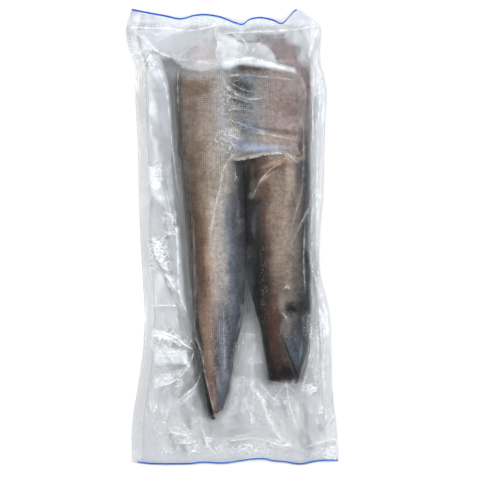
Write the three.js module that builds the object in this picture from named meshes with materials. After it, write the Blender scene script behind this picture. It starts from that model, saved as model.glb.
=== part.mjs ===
// A clear vacuum pouch that holds two dressed, headless catfish, frozen side by side.
// The pouch is one closed solid out to its film: two sheets of film that meet in a flat seal
// all round the edge and are drawn down on to the fish between them.
// Millimetres. +X runs across the pouch, +Y towards the cut head ends, +Z up. It lies on z = 0.

import * as THREE from "three";

// Sheets and seal
const SEAL_THICKNESS = 0.9; // both sheets together, where they are sealed or lie on each other
const VACUUM_CURVATURE = 0.06; // 1/mm, how sharply the vacuum bends film that spans free air
const RELAX_ROUNDS = 500; // passes in which the film settles on the fish

// Lift of the pouch's long sides above the table
const SIDE_LIFT = 6; // they hang at about this height
const SIDE_WAVE = 2; // and wave this far up and down
const SIDE_WAVE_LENGTH = 130;

// Mesh: cells between two neighbouring outline points
const CELLS_PER_END_STEP = 2;
const CELLS_PER_SIDE_STEP = 5;

// Section of a fish
const CROWN_POWER = 2.3; // 2 is an ellipse, more is fuller at the shoulders
const BELLY_FLATTENING = 1.25; // the underside is this much too deep, cut flat by the table
const HEAD_CUT_SLOPE = 1.7; // rise of the slanted head cut for each mm towards the tail

// Outline of the pouch, each edge drawn as a smooth curve through its points.
// The two ends run from left to right, as [x, y, lift above the table]: where the ruffled film is
// drawn in, it stands higher. The two sides run from the tail end to the head end, as [x, y].
const HEAD_END_POINTS = [
  [-95.7, 217.5, 3], [-77.6, 213.7, 5], [-64.3, 211.2, 7], [-49.1, 208.0, 9],
  [-35.1, 211.7, 6], [-24.9, 212.3, 6], [-11.6, 210.0, 8], [2.9, 204.1, 12],
  [9.3, 202.4, 13], [17.4, 207.7, 9], [27.3, 209.3, 8], [39.3, 206.6, 10],
  [46.9, 203.3, 12], [62.2, 217.3, 4], [73.0, 209.3, 5], [83.8, 201.4, 6],
];
const TAIL_END_POINTS = [
  [-95.7, -214.7, 5], [-78.1, -217.1, 3], [-66.0, -217.5, 3], [-54.4, -217.5, 3],
  [-40.1, -217.1, 4], [-27.8, -215.7, 5], [-9.7, -216.6, 4], [7.4, -214.2, 6],
  [16.0, -212.9, 7], [22.6, -212.3, 7], [31.1, -212.3, 7], [38.7, -214.2, 6],
  [50.1, -215.2, 5], [64.4, -217.5, 3], [82.4, -214.2, 5], [100.9, -213.8, 5],
];
const LEFT_SIDE_POINTS = [
  [-95.7, -214.7], [-95.2, -178], [-89.8, -142], [-84.7, -106], [-83.6, -70],
  [-85.5, -34], [-87.6, 2], [-88.7, 38], [-89.5, 74], [-91.1, 110],
  [-92.2, 140], [-91.4, 162], [-97.6, 178], [-100.9, 196], [-95.7, 217.5],
];
const RIGHT_SIDE_POINTS = [
  [100.9, -213.8], [98.6, -178], [94.9, -142], [93.2, -106], [91.0, -70],
  [83.2, -34], [82.4, 2], [84.9, 38], [86.5, 74], [87.8, 110],
  [88.6, 138], [84.8, 156], [81.5, 165], [82.9, 182], [83.8, 201.4],
];

// The fish, as stations from the tail to the head: [y, left flank x, right flank x, height].
const LEFT_FISH = fishFrom([
  [-172, -20.5, -13.0, 8],
  [-155, -22.1, -3.3, 16],
  [-136, -24.0, -0.6, 20],
  [-109, -26.8, 1.2, 25],
  [-60, -31.1, 6.9, 31],
  [-18, -33.5, 12.6, 37],
  [35, -38.7, 13.1, 42],
  [73, -41.6, 10.2, 43],
  [130, -45.8, 7.2, 44],
  [190, -47.3, 7.2, 44],
]);
const RIGHT_FISH = fishFrom([
  [-139, 34.0, 64.4, 24],
  [-126, 33.0, 68.2, 27],
  [-107, 32.1, 72.0, 30],
  [-60, 29.7, 72.9, 34],
  [-12, 27.3, 72.9, 38],
  [35, 23.5, 75.8, 42],
  [83, 15.0, 75.8, 45],
  [130, 7.6, 75.8, 46],
  [190, 7.6, 72.9, 46],
]);

// A fish's flanks and height, smooth between its stations
function fishFrom(stations) {
  const values = stations.flatMap(([, left, right, height]) => [left, right, height]);
  const along = stations.map(([y]) => y);
  const curve = new THREE.CubicInterpolant(along, values, 3, new Float32Array(3));
  return { tail: along[0], head: along[along.length - 1], curve };
}

// The lowest and highest point of a fish at x, y, or null beside it
function fishSpan(fish, x, y) {
  if (y < fish.tail || y > fish.head) return null;
  const [left, right, height] = fish.curve.evaluate(y);
  const across = Math.abs(x - (left + right) / 2) / ((right - left) / 2);
  if (across >= 1) return null;
  const crown = (1 - across ** CROWN_POWER) ** (1 / CROWN_POWER);
  const top = (height / 2) * (1 + crown);
  const bottom = Math.max(0, (height / 2) * (1 - BELLY_FLATTENING * crown));
  const headCut = (fish.head - y) * HEAD_CUT_SLOPE;
  return { top: Math.min(top, headCut), bottom: Math.min(bottom, headCut) };
}

// A ruffled end of the pouch
function endCurve(points) {
  return new THREE.CatmullRomCurve3(points.map((point) => new THREE.Vector3(...point)));
}

// A long side of the pouch, waving gently between the corners of the two ends
function sideCurve(points, tailCorner, headCorner) {
  const lifted = points.map(([x, y]) => {
    const wave = Math.sin((2 * Math.PI * y) / SIDE_WAVE_LENGTH);
    return new THREE.Vector3(x, y, SIDE_LIFT + SIDE_WAVE * wave);
  });
  lifted[0].copy(tailCorner);
  lifted[lifted.length - 1].copy(headCorner);
  return new THREE.CatmullRomCurve3(lifted);
}

// The middle surface between the sheets: the patch that the four edges span
function edgePatch() {
  const head = endCurve(HEAD_END_POINTS);
  const tail = endCurve(TAIL_END_POINTS);
  const left = sideCurve(LEFT_SIDE_POINTS, tail.getPoint(0), head.getPoint(0));
  const right = sideCurve(RIGHT_SIDE_POINTS, tail.getPoint(1), head.getPoint(1));
  return (u, v) => {
    const point = new THREE.Vector3();
    point.addScaledVector(tail.getPoint(u), 1 - v).addScaledVector(head.getPoint(u), v);
    point.addScaledVector(left.getPoint(v), 1 - u).addScaledVector(right.getPoint(v), u);
    point.addScaledVector(tail.getPoint(0), -(1 - u) * (1 - v));
    point.addScaledVector(tail.getPoint(1), -u * (1 - v));
    point.addScaledVector(head.getPoint(0), -(1 - u) * v);
    return point.addScaledVector(head.getPoint(1), -u * v);
  };
}

const COLUMNS = (HEAD_END_POINTS.length - 1) * CELLS_PER_END_STEP;
const ROWS = (LEFT_SIDE_POINTS.length - 1) * CELLS_PER_SIDE_STEP;
const nodeAt = (column, row) => row * (COLUMNS + 1) + column;

// The nodes of the middle surface, row by row from the tail end
function middleNodes() {
  const patch = edgePatch();
  const nodes = [];
  for (let row = 0; row <= ROWS; row++) {
    for (let column = 0; column <= COLUMNS; column++) {
      nodes.push(patch(column / COLUMNS, row / ROWS));
    }
  }
  return nodes;
}

// One sheet's height at each node. side is +1 for the upper sheet and -1 for the lower one.
// The sheet starts tight on the fish and the other sheet. In each pass a node moves to the mean of
// its neighbours, less the vacuum's pull, unless that would put it inside what stops it.
function drawnSheet(nodes, side) {
  const stops = nodes.map(({ x, y, z }) => {
    const spans = [LEFT_FISH, RIGHT_FISH].map((fish) => fishSpan(fish, x, y)).filter(Boolean);
    const reaches = spans.map(({ top, bottom }) => side * (side > 0 ? top : bottom));
    return Math.max(side * z + SEAL_THICKNESS / 2, ...reaches);
  });
  const heights = [...stops];
  for (let round = 0; round < RELAX_ROUNDS; round++) {
    for (let row = 1; row < ROWS; row++) {
      for (let column = 1; column < COLUMNS; column++) {
        const node = nodeAt(column, row);
        const east = nodeAt(column + 1, row);
        const west = nodeAt(column - 1, row);
        const north = nodeAt(column, row + 1);
        const south = nodeAt(column, row - 1);
        const across = (nodes[east].x - nodes[west].x) / 2;
        const along = (nodes[north].y - nodes[south].y) / 2;
        const acrossWeight = along ** 2;
        const alongWeight = across ** 2;
        const pull = VACUUM_CURVATURE * across ** 2 * along ** 2;
        const sides = acrossWeight * (heights[east] + heights[west]);
        const ends = alongWeight * (heights[north] + heights[south]);
        const free = (sides + ends - pull) / (2 * (acrossWeight + alongWeight));
        heights[node] = Math.max(stops[node], free);
      }
    }
  }
  return heights.map((height) => side * height);
}

// The edge nodes in order, anticlockwise seen from above
function edgeLoop() {
  const loop = [];
  for (let column = 0; column < COLUMNS; column++) loop.push(nodeAt(column, 0));
  for (let row = 0; row < ROWS; row++) loop.push(nodeAt(COLUMNS, row));
  for (let column = COLUMNS; column > 0; column--) loop.push(nodeAt(column, ROWS));
  for (let row = ROWS; row > 0; row--) loop.push(nodeAt(0, row));
  return loop;
}

// The closed pouch: the upper sheet, the lower sheet turned over, and the sealed edge between them
function pouchGeometry() {
  const nodes = middleNodes();
  const upper = drawnSheet(nodes, 1);
  const lower = drawnSheet(nodes, -1);
  const below = nodes.length;
  const positions = [];
  nodes.forEach(({ x, y }, node) => positions.push(x, y, upper[node]));
  nodes.forEach(({ x, y }, node) => positions.push(x, y, lower[node]));
  const triangles = [];
  for (let row = 0; row < ROWS; row++) {
    for (let column = 0; column < COLUMNS; column++) {
      const a = nodeAt(column, row);
      const b = nodeAt(column + 1, row);
      const c = nodeAt(column + 1, row + 1);
      const d = nodeAt(column, row + 1);
      triangles.push(a, b, c, a, c, d);
      triangles.push(below + a, below + c, below + b, below + a, below + d, below + c);
    }
  }
  const loop = edgeLoop();
  loop.forEach((node, place) => {
    const next = loop[(place + 1) % loop.length];
    triangles.push(below + node, below + next, next, below + node, next, node);
  });
  const geometry = new THREE.BufferGeometry();
  geometry.setAttribute("position", new THREE.Float32BufferAttribute(positions, 3));
  geometry.setIndex(triangles);
  geometry.computeBoundingBox();
  const { min, max } = geometry.boundingBox;
  geometry.translate(-(min.x + max.x) / 2, -(min.y + max.y) / 2, -min.z);
  geometry.computeVertexNormals();
  return geometry;
}

const film = new THREE.MeshStandardMaterial({
  color: 0xbfc0c0,
  roughness: 0.18,
  metalness: 0,
  transparent: true,
  opacity: 0.6,
});
const pouch = new THREE.Mesh(pouchGeometry(), film);
pouch.name = "sealed_pouch";

const pack = new THREE.Group();
pack.add(pouch);

export default pack;
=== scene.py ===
# %% [markdown]
# # Two frozen catfish in a vacuum pouch
# The real thing is a clear pouch with two dressed catfish in it. The air was drawn out, so the
# film lies tight on the fish, spans the gaps in small tents and crumples wherever it has too much
# length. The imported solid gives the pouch's outer form. Here it is replaced by what it stands for:
# the film, the blue lines at its ends and the two fish inside.

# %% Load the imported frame
import math

import bpy
import numpy as np
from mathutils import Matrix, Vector
from mathutils.bvhtree import BVHTree


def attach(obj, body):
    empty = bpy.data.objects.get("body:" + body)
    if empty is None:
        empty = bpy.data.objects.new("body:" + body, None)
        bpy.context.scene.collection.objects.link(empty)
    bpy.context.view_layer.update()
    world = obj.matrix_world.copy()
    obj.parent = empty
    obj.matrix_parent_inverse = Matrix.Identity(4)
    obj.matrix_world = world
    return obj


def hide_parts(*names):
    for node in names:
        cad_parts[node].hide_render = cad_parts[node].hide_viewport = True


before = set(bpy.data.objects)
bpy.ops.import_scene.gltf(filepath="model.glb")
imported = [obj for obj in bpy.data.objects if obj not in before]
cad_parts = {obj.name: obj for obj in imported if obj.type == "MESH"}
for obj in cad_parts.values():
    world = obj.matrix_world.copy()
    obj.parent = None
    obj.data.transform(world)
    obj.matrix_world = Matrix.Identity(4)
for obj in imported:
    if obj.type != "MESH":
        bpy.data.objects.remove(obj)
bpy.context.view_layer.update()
POUCH_NODE = "sealed_pouch"
MM = 0.001

# %% [markdown]
# ## Shader maths as sums
# Wiring nodes by hand hides what a material means. A small class that wraps one socket lets a
# finish be written as a sum, such as `1 - mask`, and every sum adds the Math node that works it out.
# Any other node comes from its `node` method: the kind, the settings, then the sockets.


# %% A socket that can be reckoned with
class Signal:
    """One output socket of a node tree. Sums on it add Math nodes."""

    def __init__(self, tree, socket=None):
        self.tree = tree
        self.socket = socket

    def node(self, kind, settings=None, inputs=None, output=0):
        made = self.tree.nodes.new(kind)
        for name, value in (settings or {}).items():
            if name == "stops":
                set_ramp_stops(made.color_ramp, value)
            else:
                setattr(made, name, value)
        for name, value in (inputs or {}).items():
            if isinstance(value, Signal):
                self.tree.links.new(value.socket, made.inputs[name])
            else:
                made.inputs[name].default_value = value
        return Signal(self.tree, made.outputs[output])

    def math(self, operation, *others):
        numbered = dict(enumerate((self, *others)))
        return self.node("ShaderNodeMath", {"operation": operation}, numbered)

    def __add__(self, other):
        return self.math("ADD", other)

    def __sub__(self, other):
        return self.math("SUBTRACT", other)

    def __mul__(self, other):
        return self.math("MULTIPLY", other)

    def __truediv__(self, other):
        return self.math("DIVIDE", other)

    def __rsub__(self, other):
        return self.node("ShaderNodeMath", {"operation": "SUBTRACT"}, {0: other, 1: self})

    __radd__ = __add__
    __rmul__ = __mul__

    def clamp(self):
        return self.node("ShaderNodeClamp", {}, {"Value": self})

    def fade(self, low, high):
        """0 below low, 1 above high, and a smooth step between."""
        ends = {"Value": self, "From Min": low, "From Max": high}
        return self.node("ShaderNodeMapRange", {"interpolation_type": "SMOOTHSTEP"}, ends)

    def colours(self, below, above):
        """A colour that goes from below to above as this signal goes from 0 to 1."""
        return self.node("ShaderNodeMix", {"data_type": "RGBA"}, {0: self, 6: below, 7: above}, 2)

    def vector(self, operation, other, output=0):
        return self.node("ShaderNodeVectorMath", {"operation": operation}, {0: self, 1: other}, output)


def set_ramp_stops(ramp, stops):
    """Give a colour ramp exactly these (place, colour) stops."""
    while len(ramp.elements) > 1:
        ramp.elements.remove(ramp.elements[-1])
    for number, (place, colour) in enumerate(stops):
        stop = ramp.elements[0] if number == 0 else ramp.elements.new(place)
        stop.position = place
        stop.color = colour


def shade(red, green, blue):
    """A colour given on the 8-bit sRGB scale, as the linear colour that a shader wants."""
    def linear(level):
        share = level / 255
        return share / 12.92 if share <= 0.04045 else ((share + 0.055) / 1.055) ** 2.4
    return (linear(red), linear(green), linear(blue), 1.0)


def new_material(name):
    """An empty material: its first Signal, and the function that puts a shader on its output."""
    material = bpy.data.materials.new(name)
    material.use_nodes = True
    tree = material.node_tree
    tree.nodes.clear()
    output = tree.nodes.new("ShaderNodeOutputMaterial")

    def show(shader):
        tree.links.new(shader.socket, output.inputs["Surface"])
        return material
    return Signal(tree), show


print("shader helpers ready")

# %% [markdown]
# ## The pouch's edges
# The real pouch is two sheets of film that are joined along these edges. The outline is the one that
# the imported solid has: two ruffled ends and two long sides, each a smooth curve through a few points. A
# patch spanned by the four edges gives every place on the flat film a place in space, so the film can
# be a plain grid of rows and columns. All modelling is in millimetres and turns to metres when a mesh
# is made.

# %% Outline points, millimetres
HEAD_END = [
    (-95.7, 217.5, 3), (-77.6, 213.7, 5), (-64.3, 211.2, 7), (-49.1, 208.0, 9),
    (-35.1, 211.7, 6), (-24.9, 212.3, 6), (-11.6, 210.0, 8), (2.9, 204.1, 12),
    (9.3, 202.4, 13), (17.4, 207.7, 9), (27.3, 209.3, 8), (39.3, 206.6, 10),
    (46.9, 203.3, 12), (62.2, 217.3, 4), (73.0, 209.3, 5), (83.8, 201.4, 6),
]
TAIL_END = [
    (-95.7, -214.7, 5), (-78.1, -217.1, 3), (-66.0, -217.5, 3), (-54.4, -217.5, 3),
    (-40.1, -217.1, 4), (-27.8, -215.7, 5), (-9.7, -216.6, 4), (7.4, -214.2, 6),
    (16.0, -212.9, 7), (22.6, -212.3, 7), (31.1, -212.3, 7), (38.7, -214.2, 6),
    (50.1, -215.2, 5), (64.4, -217.5, 3), (82.4, -214.2, 5), (100.9, -213.8, 5),
]
LEFT_SIDE = [
    (-95.7, -214.7), (-95.2, -178), (-89.8, -142), (-84.7, -106), (-83.6, -70),
    (-85.5, -34), (-87.6, 2), (-88.7, 38), (-89.5, 74), (-91.1, 110),
    (-92.2, 140), (-91.4, 162), (-97.6, 178), (-100.9, 196), (-95.7, 217.5),
]
RIGHT_SIDE = [
    (100.9, -213.8), (98.6, -178), (94.9, -142), (93.2, -106), (91.0, -70),
    (83.2, -34), (82.4, 2), (84.9, 38), (86.5, 74), (87.8, 110),
    (88.6, 138), (84.8, 156), (81.5, 165), (82.9, 182), (83.8, 201.4),
]
SIDE_LIFT = 6.0
SIDE_WAVE = 2.0
SIDE_WAVE_LENGTH = 130.0


# %% Curves and the patch between them
def curve_through(points, per_span=40):
    """A centripetal Catmull-Rom curve through the points, as many small steps."""
    points = np.asarray(points, float)
    padded = np.vstack([2 * points[0] - points[1], points, 2 * points[-1] - points[-2]])
    spans = []
    for p0, p1, p2, p3 in zip(padded, padded[1:], padded[2:], padded[3:]):
        t1 = np.linalg.norm(p1 - p0) ** 0.5
        t2 = t1 + np.linalg.norm(p2 - p1) ** 0.5
        t3 = t2 + np.linalg.norm(p3 - p2) ** 0.5
        t = np.linspace(t1, t2, per_span, endpoint=False)[:, None]
        a1 = ((t1 - t) * p0 + t * p1) / t1
        a2 = ((t2 - t) * p1 + (t - t1) * p2) / (t2 - t1)
        a3 = ((t3 - t) * p2 + (t - t2) * p3) / (t3 - t2)
        b1 = ((t2 - t) * a1 + t * a2) / t2
        b2 = ((t3 - t) * a2 + (t - t1) * a3) / (t3 - t1)
        spans.append(((t2 - t) * b1 + (t - t1) * b2) / (t2 - t1))
    return np.vstack(spans + [points[-1:]])


def evenly(curve, count):
    """The curve at count places, spread evenly along its length."""
    steps = np.linalg.norm(np.diff(curve, axis=0), axis=1)
    along = np.concatenate([[0], np.cumsum(steps)])
    wanted = np.linspace(0, along[-1], count)
    return np.stack([np.interp(wanted, along, values) for values in curve.T], axis=1)


def side_curve(points, tail_corner, head_corner, count):
    """A long side that waves gently between the corners of the two ends."""
    waves = [SIDE_WAVE * math.sin(math.tau * y / SIDE_WAVE_LENGTH) for _, y in points]
    lifted = [(x, y, SIDE_LIFT + wave) for (x, y), wave in zip(points, waves)]
    lifted[0] = tuple(tail_corner)
    lifted[-1] = tuple(head_corner)
    return evenly(curve_through(lifted), count)


def edge_patch(rows, columns):
    """The surface that the four edges span, as rows from the tail end to the head end."""
    head = evenly(curve_through(HEAD_END), columns)
    tail = evenly(curve_through(TAIL_END), columns)
    left = side_curve(LEFT_SIDE, tail[0], head[0], rows)
    right = side_curve(RIGHT_SIDE, tail[-1], head[-1], rows)
    u = np.linspace(0, 1, columns)[None, :, None]
    v = np.linspace(0, 1, rows)[:, None, None]
    patch = (1 - v) * tail + v * head + (1 - u) * left[:, None] + u * right[:, None]
    corners = (1 - u) * ((1 - v) * tail[0] + v * head[0]) + u * ((1 - v) * tail[-1] + v * head[-1])
    return patch - corners


outline = edge_patch(45, 21).reshape(-1, 3)
print("outline, mm:", outline.min(axis=0), outline.max(axis=0))

# %% [markdown]
# ## The fish
# Each fish is a loft: rings of a full, slightly squared oval, set along stations from the tail to
# the head. The underside froze flat on a tray, so the rings are cut off below. The head was taken
# off with a slanted cut, so the last rings lean over into one plane. Slow noise makes the body
# lumpy, because a real one never has a machined surface. Sculpting by hand would do as well, but a loft
# is put right by changing one station.

# %% Stations of the fish, millimetres
# Each station is (y, left flank x, right flank x, height).
LEFT_FISH = [
    (-172, -22.5, -8.0, 9), (-155, -25.5, -2.4, 16), (-136, -28.2, 0.2, 20), (-109, -32.0, 3.5, 25),
    (-79, -36.0, 10.0, 29), (-22, -42.0, 13.3, 36), (35, -46.5, 13.2, 40), (73, -50.5, 10.4, 41),
    (111, -54.0, 8.2, 41), (150, -55.0, 7.6, 41), (172, -53.5, 7.6, 41), (190, -44.0, 0.0, 41),
]
RIGHT_FISH = [
    (-136, 34.0, 62.0, 22), (-124, 32.0, 69.0, 26), (-107, 29.5, 74.5, 29), (-84, 25.5, 76.0, 31),
    (-60, 19.0, 76.2, 33), (-35, 12.6, 76.0, 35), (-12, 12.0, 74.5, 37), (35, 12.0, 75.8, 40),
    (83, 9.2, 75.8, 42), (130, 6.6, 75.8, 42), (172, 7.5, 74.5, 42), (190, 17.0, 64.0, 42),
]
CROWN_POWER = 2.3
BELLY_FLATTENING = 1.25
HEAD_CUT_SLOPE = 1.7
HEAD_LEAN_LENGTH = 70.0
TAIL_LEAN_LENGTH = 30.0
SKIN_CLEARANCE = 0.7
# Lumps of the body, as (height, turn round the body, size), and how far they may go in or out
SWELLS = [(0.5, 20.0, 26.0), (0.25, 0.0, 9.0)]
SWELL_LIMITS = (-1.2, 0.9)
SWELL_SPAN = 40.0
FISH_RINGS = 190
FISH_AROUND = 128
CAP_RINGS = 18


# %% Smooth noise and smooth stations
# Moves every place to the positive side of the random table, which repeats
LUMPS_OFFSET = 1000.5


class Lumps:
    """Smooth random values over a plane, the same in every run."""

    def __init__(self, seed, side=64):
        self.table = np.random.default_rng(seed).standard_normal((side, side))
        self.side = side

    def at(self, x, y, size):
        x = np.asarray(x) / size + self.side * LUMPS_OFFSET
        y = np.asarray(y) / size + self.side * LUMPS_OFFSET
        column = np.floor(x).astype(int)
        row = np.floor(y).astype(int)
        fx = x - column
        fy = y - row
        fx = fx * fx * (3 - 2 * fx)
        fy = fy * fy * (3 - 2 * fy)
        c0, c1 = column % self.side, (column + 1) % self.side
        r0, r1 = row % self.side, (row + 1) % self.side
        low = self.table[r0, c0] * (1 - fx) + self.table[r0, c1] * fx
        high = self.table[r1, c0] * (1 - fx) + self.table[r1, c1] * fx
        return low * (1 - fy) + high * fy


def smooth_step(value, low, high):
    share = np.clip((value - low) / (high - low), 0, 1)
    return share * share * (3 - 2 * share)


def along_fish(stations, y):
    """Left flank, right flank and height at y, smooth between the stations."""
    table = np.asarray(stations, float)
    knots = table[:, 0]
    values = table[:, 1:]
    slopes = np.gradient(values, knots, axis=0)
    y = np.clip(y, knots[0], knots[-1])
    span = np.clip(np.searchsorted(knots, y) - 1, 0, len(knots) - 2)
    width = (knots[span + 1] - knots[span])[..., None]
    t = (y - knots[span])[..., None] / width
    before = (2 * t**3 - 3 * t**2 + 1) * values[span] + (t**3 - 2 * t**2 + t) * width * slopes[span]
    after = (3 * t**2 - 2 * t**3) * values[span + 1] + (t**3 - t**2) * width * slopes[span + 1]
    return before + after


# %% Loft one fish
def fish_rings(stations, lumps, tail_slant):
    """Points of the skin as (ring, place round the ring, xyz), and how far across each point lies."""
    y = np.linspace(stations[0][0], stations[-1][0], FISH_RINGS)[:, None]
    left, right, height = np.moveaxis(along_fish(stations, y[:, 0]), 1, 0)[..., None]
    angle = np.linspace(0, math.tau, FISH_AROUND, endpoint=False)[None, :]
    across = np.sign(np.cos(angle)) * np.abs(np.cos(angle)) ** (2 / CROWN_POWER)
    up = np.sign(np.sin(angle)) * np.abs(np.sin(angle)) ** (2 / CROWN_POWER)
    half_width = (right - left) / 2 - SKIN_CLEARANCE
    half_height = height / 2 - SKIN_CLEARANCE
    swell = 0
    for rise, turn, size in SWELLS:
        swell = swell + rise * lumps.at(y + 0 * angle, SWELL_SPAN * across + turn * up, size)
    swell = np.clip(swell, *SWELL_LIMITS)
    x = (left + right) / 2 + (half_width + swell) * across
    above_middle = np.where(up > 0, up, up * BELLY_FLATTENING)
    z = height / 2 + (half_height + swell) * above_middle
    z = np.maximum(z, SKIN_CLEARANCE)
    head_lean = smooth_step(y, stations[-1][0] - HEAD_LEAN_LENGTH, stations[-1][0])
    tail_lean = 1 - smooth_step(y, stations[0][0], stations[0][0] + TAIL_LEAN_LENGTH)
    y = y - head_lean * z / HEAD_CUT_SLOPE + tail_lean * tail_slant * (x - stations[0][1])
    return np.stack([x, y, z], axis=2), np.broadcast_to(across, x.shape)


def end_cap(ring, depth):
    """Rings that close an end: the outline drawn in to its centre, sunk by depth(share) on the way."""
    centre = ring.mean(axis=0)
    rings = []
    for share in np.linspace(1, 0, CAP_RINGS + 1)[1:-1]:
        rings.append(centre + (ring - centre) * share + depth(share, ring))
    return np.stack(rings), centre + depth(0.0, ring).mean(axis=0)


def grid_faces(rings, around, first=0):
    """Quads between neighbouring rings of points, each ring closed on itself."""
    ring = np.arange(rings - 1)[:, None] * around
    place = np.arange(around)[None, :]
    following = (place + 1) % around
    quads = [ring + place, ring + following, ring + around + following, ring + around + place]
    return (np.stack(np.broadcast_arrays(*quads), axis=2).reshape(-1, 4) + first).tolist()


def make_object(name, points_mm, faces, material, smooth=True):
    mesh = bpy.data.meshes.new(name)
    mesh.from_pydata((np.asarray(points_mm) * MM).tolist(), [], faces)
    mesh.validate()
    mesh.polygons.foreach_set("use_smooth", [smooth] * len(mesh.polygons))
    mesh.materials.append(material)
    mesh.update()
    made = bpy.data.objects.new(name, mesh)
    bpy.context.scene.collection.objects.link(made)
    return made


def add_values(piece, name, values):
    """Keep one number for each point of a piece, for its material to read."""
    layer = piece.data.attributes.new(name, "FLOAT", "POINT")
    layer.data.foreach_set("value", np.asarray(values, np.float32).ravel())


print("fish helpers ready")

# %% [markdown]
# ## Skin and flesh
# Catfish skin is smooth and has no scales. Seen from above its colour changes mostly across the body:
# a dark back, tan and pale sides, blue-grey towards the far side. So each fish has colour bands
# across the body, a set for each stretch from the tail to the head, and soft spots for what breaks
# the bands. Some bands and spots also hold painted light and shade: shade along the left fish's steep
# left flank and in the deep gap between the fish, shadow under the belly flap, and lit ridges and
# shaded grooves of the belly folds below it. Noise moves all the borders a little, since none of them
# is drawn with a ruler. A painted picture could do the same, but bands and spots stay sharp at any
# distance and are easy to change.


# %% Noise, and a spot with a ragged border
SPOT_BORDER = (0.25, 1.25)


def noise(place, scale, detail):
    """Soft noise about 0.5, with lumps about 1 / scale across."""
    return place.node("ShaderNodeTexNoise", {}, {"Vector": place, "Scale": scale, "Detail": detail})


def spot_mask(x, y, centre, half_size, tilt, wobble):
    """1 inside an ellipse that is turned anticlockwise by tilt degrees, 0 outside it."""
    turn = math.radians(tilt)
    right = x - centre[0]
    up = y - centre[1]
    away_x = (right * math.cos(turn) + up * math.sin(turn)) / half_size[0]
    away_y = (up * math.cos(turn) - right * math.sin(turn)) / half_size[1]
    away = (away_x * away_x + away_y * away_y).math("SQRT") + wobble
    return 1 - away.fade(*SPOT_BORDER)


# %% Skin finish
# Noises of the skin: lumps per mm, detail, and how they are squeezed along x, y and z
SKIN_NOISES = {
    "drift": (0.09, 4.0, (1.0, 0.45, 1.0)), "mottle": (0.32, 5.0, None), "grain": (1.1, 3.0, None),
    "folds": (0.14, 4.0, (0.35, 1.2, 0.35)), "lengthwise": (0.22, 4.0, (1.0, 0.15, 1.0)),
}
FLESH_TONES = [shade(150, 98, 92), shade(190, 146, 138)]
FLESH_MOTTLE = (0.35, 0.65)
TAIL_RIM_TONE = shade(178, 84, 52)
# Values of cut_face at which skin turns to the tail's rim, and rim to flesh
RIM_START = (0.35, 0.62)
FLESH_START = (0.80, 0.97)
# How far noise moves the bands across the body, the joins between their sets, the tones along an edge
# and the borders of spots, the last by mottle and by drift
BAND_WANDER = 0.22
JOIN_WANDER = 40.0
EDGE_WANDER = 4.0
SPOT_WANDER = (0.8, 1.6)
# How much each noise lightens and darkens the skin, and the level that keeps its mean
TONE_NOISE = {"mottle": 1.05, "grain": 0.80, "folds": 0.65, "lengthwise": 0.50}
TONE_LEVEL = -0.49
GRAIN_RELIEF = 0.4
# Borders of the tones along an edge, in half widths, and where across the slab they run in
EDGE_BORDER = (0.5, 1.2)
EDGE_RUN_IN = (-0.9, -0.6)
# Only the tail half of a fish has a coloured rim round its cut
TAIL_HALF = (0.0, 50.0)
METRES_TO_MM = (1000.0, 1000.0, 1000.0)


def skin_noise(place, name):
    scale, detail, squeeze = SKIN_NOISES[name]
    squeezed = place if squeeze is None else place.vector("MULTIPLY", squeeze)
    return noise(squeezed, scale, detail)


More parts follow.
